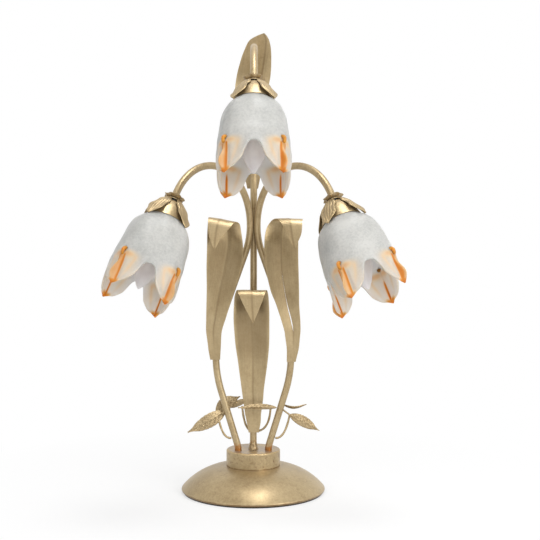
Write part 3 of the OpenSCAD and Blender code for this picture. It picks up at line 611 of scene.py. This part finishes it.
def tulipRadius(angle, depth, edgeShare, inside):
    # the bell's outline, a squared cosine for the petals, a cosine flute and a sine wobble round it;
    # outside a gaussian fin with creases beside it and a hollow above, inside a groove;
    # a waist above the edge, away from the middle of the petal
    fromPetal = angle % 90 - 45
    level = depth - tulip["height"]
    radius = smoothCurve(depth, tulipOutline)
    swell = np.cos(np.radians(2 * fromPetal)) ** 2 * tulip["petalRadius"]
    radius = radius + swell * np.clip(depth / 40, 0, 1)
    radius = radius + tulip["flute"] * np.cos(np.radians(8 * angle + 20)) * bell(depth, 20, 14)
    wobble = tulip["wobble"] * np.sin(np.radians(5 * angle) + depth / 16)
    radius = radius + wobble * smoothStep(depth, 8, 40)
    lean = tulip["finLean"] * np.sin(np.radians(angle * 3.1 + 40)) * bell(level, -16, 14)
    beside = np.abs(fromPetal - lean)
    if inside:
        groove = tulip["groove"] * bell(beside, 0, 2.2) * smoothStep(level, -44, -30)
        radius = radius - tulip["wall"] * np.clip(0.4 + depth / 12, 0, 1) + groove
    else:
        fin = tulip["finReach"] * smoothCurve(level, finOutline) * bell(beside, 0, tulip["finWidth"])
        radius = radius + fin
        radius = radius - tulip["crease"] * bell(beside, 6.5, 3) * smoothStep(level, -40, -28)
        radius = radius - tulip["hollow"] * bell(beside, 0, 7) * bell(depth, 50, 16)
    waist = tulip["waist"] * (1 - smoothStep(edgeShare, 0.82, 1))
    return radius - waist * smoothStep(np.abs(fromPetal), 8, 20) * smoothStep(level, -58, -34)


def tulipBlush(angle, depth, edgeShare, inside):
    # orange on the fin, deeper at the tip, tan over the whole petal; deeper in the creases beside the fin, which
    # paints both the orange glass and the shade in the creases
    beside = np.abs(angle % 90 - 45)
    level = depth - tulip["height"]
    share = blushShares
    if inside:
        fin = share["inside"] * bell(beside, 0, 2.4) * smoothStep(level, -40, -22)
    else:
        # the creases beside the fin get the fin's orange deepened by painted shade
        fin = share["fin"] * bell(beside, 0, 3.8) + share["creases"] * bell(beside, 4.2, 1.6)
        fin = fin * smoothStep(level, -44, -38)
    halo = share["halo"] * (1 - smoothStep(beside, 20, 44)) * smoothStep(level, -54, -34)
    halo = halo * (1 - 0.5 * smoothStep(level, -26, -6) * bell(beside, 13, 7))
    halo = halo + share["shoulder"] * bell(beside, 9, 13) * bell(level, -42, 5)
    halo = halo + share["streak"] * bell(beside, 22 - 0.35 * (level + 40), 3) * smoothStep(level, -44, -36)
    tip = share["tip"] * smoothStep(edgeShare, 0.94, 1) * bell(beside, 0, 10)
    rim = share["rim"] * smoothStep(edgeShare, 0.95, 1) * smoothStep(level, -38, -24)
    return np.clip(np.maximum.reduce([fin, halo, tip, rim]), 0, 1)


def tulipShell():
    # rows run from the hole over the flat top, down the outside, round the lip and up the inside
    spread = np.linspace(-1, 1, tulip["columns"], endpoint=False)
    quarter = 45 * (0.5 * spread + 0.5 * spread ** 3)  # columns lie closer at the fin
    angle = np.concatenate([45 + 90 * k + quarter for k in range(4)])[None, :]
    arch = 1 - smoothCurve(45 - np.abs(angle % 90 - 45), archOutline)
    edge = tulip["height"] - tulip["lip"] - tulip["archDepth"] * arch
    share = np.linspace(0, 1, tulip["rows"])[:, None]
    outerDepth = edge * share
    outer = tulipRadius(angle, outerDepth, share, False)
    innerShare = share[::-2]
    innerDepth = edge * innerShare
    inner = tulipRadius(angle, innerDepth, innerShare, True)
    sink = tulip["wall"] * np.clip(1 - innerDepth / 12, 0, 1)
    swing = np.radians([30, 60, 90, 120, 150])[:, None]
    middle, half = (outer[-1:] + inner[:1]) / 2, (outer[-1:] - inner[:1]) / 2
    lipRadius = middle + half * np.cos(swing)
    lipDepth = edge + tulip["lip"] * np.sin(swing)
    hole = np.full((1, angle.size), tulip["holeRadius"])
    radius = np.concatenate([hole, outer, lipRadius, inner, hole])
    depth = np.concatenate([0 * hole, outerDepth, lipDepth, innerDepth + sink, 0 * hole + tulip["wall"]])
    lipBlush = np.broadcast_to(tulipBlush(angle, edge, 1.0, False), lipRadius.shape)
    blush = np.concatenate([0 * hole, tulipBlush(angle, outerDepth, share, False), lipBlush,
                            tulipBlush(angle, innerDepth, innerShare, True), 0 * hole])
    firstInner = len(radius) - len(inner) - 1
    # inside marks the inner rows, which the glass paints paler as painted light
    inside = np.broadcast_to(np.arange(len(radius))[:, None] >= firstInner, radius.shape).astype(float)
    turn = np.radians(angle)
    points = np.stack([radius * np.cos(turn), radius * np.sin(turn), tulip["top"] + depth], -1)
    return gridShell(points, closeRows=True, values={"blush": blush, "inner": inside})


# radius and depth along a hook; it ends in a round head and starts in a thicker root
hook = {
    "path": [[45.5, 67], [49, 67.5], [51.3, 70.5], [50.4, 74.5], [47.8, 74.5]],
    "thick": 2.1, "root": 0.9, "headStart": 2.9, "headLength": 1.12, "blush": 0.58,
}


def hookShell(petal):
    # a bead of glass drawn out of the petal and curled back on itself
    t = np.linspace(0, 4, 36)
    radius = smoothCurve(t, [[k, p[0]] for k, p in enumerate(hook["path"])])
    depth = smoothCurve(t, [[k, p[1]] for k, p in enumerate(hook["path"])])
    turn = np.radians(45 + 90 * petal)
    path = np.stack([radius * np.cos(turn), radius * np.sin(turn), tulip["top"] + depth], -1)
    head = ((t - hook["headStart"]) / hook["headLength"]) ** 2 * (t > hook["headStart"])
    thick = hook["thick"] * np.sqrt(np.clip(1 - head, 0.02, 1)) + hook["root"] * bell(t, 0, 1.2)
    return tube(path, thick, values={"blush": hook["blush"], "inner": 0.0})


def makeTulips(material):
    for side in sides:
        shells = [tulipShell()] + [hookShell(k) for k in range(4)]
        shells = [hang(shell, side, tulip["turn"][side]) for shell in shells]
        makePiece("tulip_" + side, shells, material, "shade_" + side)
    print("glass tulips made")


# candle bulbs

candle = {
    "length": 100, "diameter": 35, "neckRadius": 7.2, "tipRadius": 5,
    "capRadius": 6.9, "capHeight": 19, "capColumns": 64, "threadPitch": 2.82, "threadDepth": 0.35,
}


def makeBulbs(glass, brass):
    # two beziers from the neck to the tip, and a cap whose thread is a cosine that climbs as it turns
    foot, wide = bulbLevel, candle["diameter"] / 2
    neck, tip = foot + candle["capHeight"], foot + candle["length"]
    t = np.linspace(0, 1, 30)
    lower = bezier([[candle["neckRadius"], neck], [7.9, neck + 12], [wide, neck + 14], [wide, neck + 36]], t)
    upper = bezier([[wide, neck + 36], [wide, neck + 56], [candle["tipRadius"], tip - 3], [0.01, tip]], t[1:])
    outline = np.concatenate([lower, upper])
    inner = outline[::-1] * [0.94, 1] - [0, 0.8]
    level = np.arange(foot + 4.5, neck + 0.2, 0.22)
    side = np.stack([np.full(level.size, candle["capRadius"] - 0.4), level], -1)
    below = [[3.6, foot + 2], [4.9, foot + 2], [6.4, foot + 4]]
    cap = np.concatenate([below, side, [[6.0, neck + 0.2], [6.0, foot + 5], [3.6, foot + 3]]])

    def thread(radius, height, turn):
        wave = np.cos(2 * np.pi * height / candle["threadPitch"] - turn)
        onSide = (radius > 6.45) & (height > foot + 4.4)
        return radius + onSide * candle["threadDepth"] * wave * smoothStep(neck - height, 0, 2.5), height

    for name in sides:
        node, body = "bulb_" + name, "bulb_glass_" + name
        envelope = hang(lathe(np.concatenate([outline, inner])), name)
        makePiece("candleGlass_" + name, [envelope], glass, node, body)
        threaded = hang(lathe(cap, candle["capColumns"], thread), name)
        makePiece("candleCap_" + name, [threaded], brass, node, body)
    print("bulbs made")


# calyx, cup and their ring

calyx = {
    "ringLevel": 8, "ringRadius": 9.5, "bore": 4.95, "sheet": 0.8,
    "root": (8.3, 8.5), "knee": (20.5, 12.0), "tip": (33.6, 45.4),
    "widths": [[0, 7.4], [0.12, 12], [0.25, 17.5], [0.5, 25], [0.7, 25.5], [0.85, 19], [0.94, 10], [1, 2]],
    "veins": 2.7, "veinRise": 0.5,
    "ruffles": 17,  # radians of wave along the edge
}


def calyxLeaf(k):
    # a bezier midrib; across it the blade wraps round the axis with ribs as a cosine and waved edges
    t = np.linspace(0, 1, 56)[:, None]
    c = np.linspace(-1, 1, 57)[None, :]
    middle = bezier([calyx["root"], calyx["knee"], calyx["tip"]], t[:, 0])
    radius, level = middle[:, :1], middle[:, 1:]
    waves = 1 + 0.07 * np.sin(t * calyx["ruffles"] + k + np.sign(c)) * smoothStep(t, 0.25, 0.5)
    half = smoothCurve(t, calyx["widths"]) / 2 * waves
    turn = c * half / (radius + 2.5)
    vein = np.cos(np.pi * c * calyx["veins"] * 2)
    ribs = calyx["veinRise"] * vein * np.sin(np.pi * t) ** 0.5
    ruffle = 0.8 * np.sin(t * calyx["ruffles"] + 2 * k + np.sign(c))
    curl = c ** 2 * (1.3 + 1.2 * smoothStep(t, 0.5, 0.9) + ruffle)
    r = radius + ribs + curl * smoothStep(t, 0.05, 0.4)
    z = level + 0.9 * c ** 2 * (1 - t) * smoothStep(t, 0, 0.3)
    turn = turn + np.radians(45 + 90 * k)
    points = np.stack(np.broadcast_arrays(r * np.cos(turn), r * np.sin(turn), z), -1)
    uv = np.stack(np.broadcast_arrays(t * 0.045, c * half * mm), -1)
    zero = np.zeros(points.shape[:2])
    # the fold value is painted shade in the grooves between the ribs
    values = {"fold": zero + (0.5 - 0.5 * vein) * 0.6, "edge": zero + smoothStep(np.abs(c), 0.9, 1)}
    return thickSheet(points, calyx["sheet"], uv=uv, values=values)


def ringShell():
    # the flat ring that carries the four leaves, with no painted fold shade and no edge to paint
    bore, top, rim = calyx["bore"], calyx["ringLevel"], calyx["ringRadius"]
    shell = lathe([[bore, top], [rim, top], [rim, top + 1], [bore, top + 1]])
    shell["values"] = {name: np.zeros(len(shell["points"])) for name in ("fold", "edge")}
    return shell


cup = {"rim": 12.8, "level": 8, "rise": 5, "lobes": 7, "bore": 4.95, "sheet": 0.9}


def cupShell(phase):
    # a shallow dish; its rim goes in and out and up and down as cosines
    u = np.linspace(0, 1, 16)
    rim, top, lobes = cup["rim"], cup["level"], cup["lobes"]
    dish = [(cup["bore"] + 0.1, top - 0.7), (rim * 0.5, top - 1.2), (rim * 0.72, top - 0.6),
            (rim, top - cup["rise"] + 0.5)]
    middle = bezier(dish, u)
    turn = np.linspace(0, 2 * np.pi, 120, endpoint=False)[None, :]
    share = u[:, None] ** 2
    radius = middle[:, :1] * (1 + share * (0.085 * np.cos(lobes * turn + phase) + 0.03 * np.cos(3 * turn)))
    waved = 0.8 * np.cos(lobes * turn + phase + 0.8) + 0.4 * np.cos(4 * turn + phase)
    level = middle[:, 1:] + share * waved
    points = np.stack([radius * np.cos(turn), radius * np.sin(turn), level], -1)
    return thickSheet(points, cup["sheet"], closed=True)


def makeFlowers(leafMetal, cupMetal):
    for phase, side in enumerate(sides):
        shells = [calyxLeaf(k) for k in range(4)] + [ringShell()]
        shells = [hang(shell, side, tulip["turn"][side]) for shell in shells]
        makePiece("calyxLeaves_" + side, shells, leafMetal, "calyx_" + side, smoothAngle=50)
        dish = hang(cupShell(phase * 1.3), side)
        makePiece("ruffledCup_" + side, [dish], cupMetal, "cup_" + side, smoothAngle=50)
    print("calyxes and cups made")


# long folded leaves

blade = {"sheet": 1.0, "width": 47, "along": 220, "across": 31}
# rows: share of the length, midrib to the right, width to the left, width to the right, as shares of the width
bladeOutlines = {
    "left": [[0, 0, 0.15, 0.14], [0.07, -0.05, 0.16, 0.21], [0.15, -0.06, 0.2, 0.24], [0.24, 0, 0.26, 0.31],
             [0.4, 0.14, 0.38, 0.43], [0.54, 0.29, 0.53, 0.49], [0.67, 0.39, 0.61, 0.41],
             [0.77, 0.35, 0.55, 0.38], [0.81, 0.19, 0.37, 0.43], [0.86, 0.09, 0.28, 0.39],
             [0.93, 0.03, 0.19, 0.17], [1, 0, 0.01, 0.01]],
    "right": [[0, 0, 0.14, 0.12], [0.09, 0.05, 0.2, 0.17], [0.16, 0.05, 0.25, 0.2], [0.22, 0, 0.28, 0.25],
              [0.32, -0.13, 0.32, 0.34], [0.41, -0.22, 0.41, 0.42], [0.53, -0.3, 0.46, 0.48],
              [0.63, -0.31, 0.5, 0.48], [0.69, -0.31, 0.49, 0.48], [0.73, -0.3, 0.47, 0.47],
              [0.756, -0.28, 0.445, 0.46], [0.782, -0.235, 0.4, 0.445], [0.82, -0.13, 0.35, 0.42],
              [0.86, -0.07, 0.28, 0.35], [0.92, -0.03, 0.14, 0.28], [1, 0.04, 0.01, 0.01]],
    "centre": [[0, 0, 0.15, 0.15], [0.05, 0, 0.2, 0.2], [0.11, -0.02, 0.24, 0.24], [0.18, -0.02, 0.29, 0.29],
               [0.25, -0.03, 0.33, 0.33], [0.38, -0.03, 0.42, 0.42], [0.52, -0.05, 0.5, 0.5],
               [0.65, -0.07, 0.52, 0.52], [0.75, -0.07, 0.5, 0.5], [0.81, -0.06, 0.43, 0.43],
               [0.85, -0.06, 0.38, 0.38], [1, -0.02, 0.01, 0.01]],
    "top": [[0, 0, 0.16, 0.16], [0.18, -0.01, 0.32, 0.32], [0.41, 0.05, 0.48, 0.42], [0.62, 0.15, 0.68, 0.29],
            [0.73, 0.26, 0.73, 0.26], [0.83, 0.33, 0.68, 0.21], [0.91, 0.37, 0.58, 0.15],
            [0.95, 0.38, 0.49, 0.1], [0.985, 0.34, 0.21, 0.06], [1, 0.32, 0.01, 0.01]],
}
# place of the foot, upright length, fold radius, tip length and slit in mm; lean, bow, fold and valley in degrees;
# skew is the fall to the right per mm, easing how much longer the bend runs than an even one, shade the share of
# painted shade on the upper blade behind the folded tip
bladeForms = {
    "left": {
        "foot": (-52.56, -15.35, 185.72), "upright": 188, "lean": 0, "bow": 6, "foldRadius": 7, "fold": 160,
        "tip": 37, "valley": 24, "skew": 0.16, "slit": 0, "easing": 2.0, "shade": 0.45,
    },
    "right": {
        "foot": (52.56, -15.35, 182.72), "upright": 192, "lean": 0, "bow": 6, "foldRadius": 7, "fold": 160,
        "tip": 36, "valley": 24, "skew": 0, "slit": 1.7, "easing": 2.0, "shade": 0.15,
    },
    "centre": {
        "foot": (0.5, -6.95, 83), "upright": 195, "lean": 0, "bow": 8, "foldRadius": 6.5, "fold": 160,
        "tip": 39, "valley": 16, "skew": 0, "slit": 0, "easing": 2.0, "shade": 0.85,
    },
    "top": {
        "foot": (-1.5, 3.95, 422), "upright": 147, "lean": -3, "bow": 6, "foldRadius": 150, "fold": 20,
        "tip": 15, "valley": -7, "skew": 0, "slit": 0, "easing": 1.0, "shade": 0.0,
    },
}
slitOutline = [[0, 0], [0.16, 0], [0.22, 1], [0.27, 0.9], [0.35, 0.35], [0.48, 0.18], [0.62, 0], [1, 0]]
valleyOutline = [[0, 0], [0.25, 1], [0.66, 1], [0.8, 0.2], [1, 0.3]]


def midrib(form):
    # the upright part is an arc, then the bend is sharp at first and eases to a straight tip
    # heading is the angle from straight up
    evenFold = form["foldRadius"] * np.radians(form["fold"])
    upright, easing = form["upright"], form["easing"] * evenFold
    total = upright + evenFold + form["tip"]
    length = upright + easing + form["tip"] - 0.7 * (easing - evenFold)
    s = np.linspace(0, length, 4001)
    eased = np.clip((s - upright) / easing, 0, 1)
    bent = form["fold"] * (1 - (1 - eased) ** 2)
    heading = np.radians(form["lean"] + form["bow"] * np.minimum(s / upright, 1) + bent)
    step = np.diff(s, prepend=0)
    bentShare = 1 - (length - s) / (length - upright) * (1 - upright / total)
    share = np.where(s < upright, s / total, bentShare)
    return share, np.cumsum(np.sin(heading) * step), np.cumsum(np.cos(heading) * step), heading, total


def bladeShell(name, half=0):
    # width across follows the outline; the blade's sides rise from the fold by the valley angle
    # a half of a blade with a slit stands off the fold by half the slit
    form, outline = bladeForms[name], np.array(bladeOutlines[name])
    share, forward, up, heading, total = midrib(form)
    u = np.linspace(0, 1, blade["along"])[:, None]
    u = u + 0.02 * np.sin(2 * np.pi * u)
    c = np.linspace(-1 if half <= 0 else 0, 1 if half >= 0 else 0, blade["across"])[None, :]
    offset, left, right = (smoothCurve(u, outline[:, [0, k]]) * blade["width"] for k in (1, 2, 3))
    forward, up, heading = (np.interp(u, share, line) for line in (forward, up, heading))
    aside = np.where(c < 0, c * left, c * right)
    slit = half * form["slit"] / 2 * smoothCurve(u, slitOutline)
    aside = aside + slit * (1 - np.abs(c))
    slope = np.tan(np.radians(form["valley"])) * smoothCurve(u, valleyOutline)
    lift = np.sqrt(aside ** 2 + 0.6) * slope
    lift = lift + 0.45 * np.sin(aside / 6.5 + u * 9) * smoothStep(u, 0.1, 0.3)
    lift = lift + blade["sheet"] / 2
    back, level = -(forward + lift * np.cos(heading)), up - lift * np.sin(heading)
    points = np.stack(np.broadcast_arrays(offset + aside, back, level), -1)
    points[..., 2] -= form["skew"] * aside * smoothStep(u, 0.55, 0.75)
    uv = np.stack(np.broadcast_arrays(u * total * mm, aside * mm), -1)
    # painted shade: the crease line and the upper blade behind the folded tip are darkened through the fold value
    crease = bell(aside, 0, 1.3) * smoothStep(u, 0.02, 0.2)
    behind = form["shade"] * smoothStep(u, 0.3, 0.5) * (1 - smoothStep(u, 0.72, 0.76))
    behind = behind * (1 - smoothStep(np.abs(c), 0.8, 1.0))
    fold = np.broadcast_to(np.maximum(crease, behind), points.shape[:2])
    edge = np.broadcast_to(smoothStep(np.abs(c), 0.93, 1), points.shape[:2])
    shell = thickSheet(points, blade["sheet"], uv=uv, values={"fold": fold, "edge": edge})
    shell["points"] = (shell["points"] + form["foot"]) * mm
    return shell


def makeBlades(material):
    for name, form in bladeForms.items():
        shells = [bladeShell(name, half) for half in ((-1, 1) if form["slit"] else (0,))]
        makePiece("blade_" + name, shells, material, "leaf_" + name, smoothAngle=45)
    print("long leaves made")


# twigs with pressed leaves

twig = {"radius": 1.5, "lowLevel": 76, "stemGap": 5.775, "leafSheet": 0.9}
twigEnds = {
    "low_left": (-49.5, -5, 109), "low_right": (50.5, -8, 108),
    "mid_left": (-15.6, -8, 120), "mid_right": (23.6, -20, 118),
}
# from, to, width, face direction, bow and sweep of each leaf
twigLeaves = {
    "low_left": ((-39, -4, 112), (-90.7, -17, 85), 19, (0.1, -0.85, 0.5), 3, -2),
    "high_left": ((-52, -4, 106.5), (-18.6, 5, 131.5), 19, (-0.1, -0.9, 0.4), 2, -3.5),
    "mid_left": ((-9, -9.5, 128.5), (-34, -1, 116), 9.5, (-0.2, -0.75, 0.6), 1, 0),
    "mid_right": ((32, -17, 119.5), (-21, -31, 121.5), 10, (0, -0.6, 0.8), 1, 0),
    "far_right": ((41, 1, 121), (74, -2, 121.4), 9, (0, -0.5, -0.87), 3.5, 0),
    "low_right": ((50.5, -8, 108), (91, -20, 88), 17, (-0.1, -0.6, 0.8), 2, 2),
}
stem = {"footX": 21, "footBend": 25, "leanOut": 16.9, "footLevel": 60, "sideY": -10.4, "centreY": -2, "radius": 4.75}


def stemX(level):
    # middle of an outer stem on its lower straight run
    lean = np.radians(stem["leanOut"])
    climb = level - stem["footLevel"] - stem["footBend"] * np.sin(lean)
    return stem["footX"] + stem["footBend"] * (1 - np.cos(lean)) + climb * np.tan(lean)


def twigLeafShell(start, end, width, face, bow, sweep):
    # a straight midrib with a sine bow, a pointed outline with fine teeth, side veins as waves that slant forward
    start, end = np.array(start, float), np.array(end, float)
    along = unit(end - start)
    across = unit(np.cross(along, np.array(face, float)))
    facing = np.cross(across, along)
    t = np.linspace(0, 1, 90)[:, None]
    c = np.linspace(-1, 1, 33)[None, :]
    arc = np.sin(np.pi * t)
    half = width / 2 * np.sin(np.pi * t ** 0.8) ** 0.8 * (1 - 0.45 * smoothStep(t, 0.72, 0.95))
    teeth = 1 + 0.05 * np.abs(np.sin(t * 30)) * arc
    half = np.maximum(0.5, half * teeth)
    slant = np.cos(2 * np.pi * (t * 8 - np.abs(c) * 1.1))
    rise = bow * arc + np.abs(c) * half * 0.25 - 0.35 * bell(c, 0, 0.1) + 0.08 * slant * arc * (1 - c ** 4)
    rise = rise + 0.6 * np.sin(np.pi * 2 * t + c) * smoothStep(t, 0.3, 0.9) * np.abs(c)
    aside = half * c + sweep * arc
    points = start + (end - start) * t[..., None] + across * aside[..., None] + facing * rise[..., None]
    uv = np.stack(np.broadcast_arrays(t * np.linalg.norm(end - start) * mm, c * half * mm), -1)
    shell = thickSheet(points, twig["leafSheet"], uv=uv)
    shell["points"] = shell["points"] * mm
    return shell


def twigWire(points, radius=twig["radius"]):
    # a tube along a bezier, whose thickness swings a little as a sine
    t = np.linspace(0, 1, 30)
    shell = tube(bezier(points, t), radius * (1 + 0.06 * np.sin(t * 19)))
    shell["points"] = shell["points"] * mm
    return shell


def makeTwigs(wireMetal, leafMetal):
    low, gap, sideY, centreY = twig["lowLevel"], twig["stemGap"], stem["sideY"], stem["centreY"]
    wires = {
        "low_left": [(-stemX(low) - gap, sideY, low), (-44, -10, low - 2), twigEnds["low_left"]],
        "mid_left": [(-gap, centreY, 86), (-13, -4, 91), twigEnds["mid_left"]],
        "mid_right": [(gap, centreY, 84), (22, -2, 86), twigEnds["mid_right"]],
        "low_right": [(stemX(low) + gap, sideY, low), (44, -10, low - 2), twigEnds["low_right"]],
    }
    # two leaves also have a stalk of their own from the right stem, and its radius
    stalks = {
        "far_right": ([(stemX(99), sideY + gap, 99), (stemX(99) + 3, 3, 101), twigLeaves["far_right"][0]], 1.0),
        "low_right": ([(stemX(115) + 5, sideY, 115), (46, -9, 111), twigLeaves["low_right"][0]], 1.2),
    }
    for name, points in wires.items():
        makePiece("twigWire_" + name, [twigWire(points)], wireMetal, "twig_wire_" + name)
    for name, leaf in twigLeaves.items():
        shells = [twigLeafShell(*leaf)]
        if name in stalks:
            shells.append(twigWire(*stalks[name]))
        makePiece("twigLeaf_" + name, shells, leafMetal, "twig_leaf_" + name, smoothAngle=60)
    print("twigs made")


# bead of weld round the middle stem's foot

weld = {"radius": 2.6, "height": 9, "level": 59, "gap": 0.1, "columns": 80}


def makeWeld(material):
    # a bezier slope turned round the stem, with lumps as sines of the turn and the height
    inner, low, high = stem["radius"] + weld["gap"], weld["level"], weld["level"] + weld["height"]
    slope = bezier([(inner + weld["radius"], low), (inner + weld["radius"] * 0.35, low + 2), (inner + 0.2, high)],
                   np.linspace(0, 1, 24))
    profile = np.concatenate([[[inner, low]], slope, [[inner, high]]])

    def drips(radius, height, turn):
        outerSide = smoothStep(radius, inner, inner + 0.4)
        lumps = 0.45 * np.sin(5 * turn + height) + 0.3 * np.sin(9 * turn - 2 * height) + 0.25 * np.sin(height * 3.3)
        return radius + outerSide * lumps * 0.3, height

    shell = lathe(profile, weld["columns"], drips)
    shell["points"] = (shell["points"] + [0, stem["centreY"], 0]) * mm
    makePiece("stemWeld", [shell], material, "foot_weld")
    print("weld made")


def dressNodes(finishes):
    # a CAD node keeps its mesh and gets the finish of its slot, or one of its own
    ownFinish = {"stem_left": "stems", "stem_centre": "stems", "stem_right": "stems", "base_dome": "dome"}
    slots = {part["node"]: part["material_slot"] for part in frame["record"]["subparts"]}
    for name, node in frame["nodes"].items():
        node.data.materials.clear()
        node.data.materials.append(finishes[ownFinish.get(name, slots[name])])
    print("CAD pieces dressed")


def makeWorld():
    # a soft level on the object, and white where it is looked at
    world = bpy.data.worlds.new("studioAir")
    bpy.context.scene.world = world
    world.use_nodes = True
    tree = world.node_tree
    tree.nodes.clear()
    air = {"Color": (1, 1, 1, 1), "Strength": studio["worldLevel"]}
    white = {"Color": (1, 1, 1, 1), "Strength": 1.0}
    lit, shown = (addNode(tree, "Background", values=values).outputs[0] for values in (air, white))
    blend = addNode(tree, "MixShader", links={0: shownRays(tree), 1: lit, 2: shown})
    addNode(tree, "OutputWorld", links={"Surface": blend.outputs[0]})


def makeFloor():
    # pale and lit near the object, where its shadow falls, and white further off
    reach, level = studio["floorReach"], studio["floorLevel"]
    corners = [(x * reach, y * reach, level) for x, y in ((-1, -1), (1, -1), (1, 1), (-1, 1))]
    mesh = bpy.data.meshes.new("floor")
    mesh.from_pydata(corners, [], [(0, 1, 2, 3)])
    floor = bpy.data.objects.new("floor", mesh)
    bpy.context.scene.collection.objects.link(floor)
    material, tree, shader = newMaterial("paleFloor", {"Roughness": 0.9})
    darker, paler = (linear(*colour) for colour in studio["floorColours"])
    grain = ramp(tree, noise(tree, coordinates(tree), 3, 3), [(0.3, darker), (0.7, paler)])
    tree.links.new(grain, shader.inputs["Base Color"])
    glow = addNode(tree, "Emission", values={"Color": (1, 1, 1, 1), "Strength": 1.0})
    away = addNode(tree, "VectorMath", settings={"operation": "LENGTH"}, links={0: coordinates(tree)})
    halfAway = maths(tree, "MULTIPLY", away.outputs["Value"], 0.5)
    far = ramp(tree, halfAway, [(0.05, 0.6), (0.25, 1.0)])
    share = maths(tree, "MULTIPLY", shownRays(tree), far)
    blend = addNode(tree, "MixShader", links={0: share, 1: shader.outputs[0], 2: glow.outputs[0]})
    tree.links.new(blend.outputs[0], tree.nodes["Material Output"].inputs["Surface"])
    mesh.materials.append(material)


def makeStage():
    makeWorld()
    makeFloor()
    for name, lamp in studio["lamps"].items():
        addSoftbox(name, **lamp)
    bpy.context.scene.view_settings.view_transform = "Standard"
    addCamera(cameraView)
    print("stage ready")


makeStage()
finishes = {slot: plainMaterial(slot, *look) for slot, look in plainFinishes.items()}
finishes.update({
    "gold_metal": goldMetal("goldMetal")[0],
    "gold_grey": baseGold("collarGold"),
    "gold_dark": goldMetal("goldDark", wear=0.5, browned=0.3)[0],
    "stems": stemGold(),
    "dome": baseGold("domeGold"),
    "frosted_glass": tulipGlass(),
    "opal_glass": opalBulb(),
})
bladeMetal = leafGold()
dressNodes(finishes)
makeTulips(finishes["frosted_glass"])
makeBulbs(finishes["opal_glass"], finishes["contact_brass"])
makeFlowers(bladeMetal, finishes["gold_dark"])
makeBlades(bladeMetal)
makeTwigs(finishes["gold_metal"], pressedLeafGold())
makeWeld(finishes["gold_dark"])
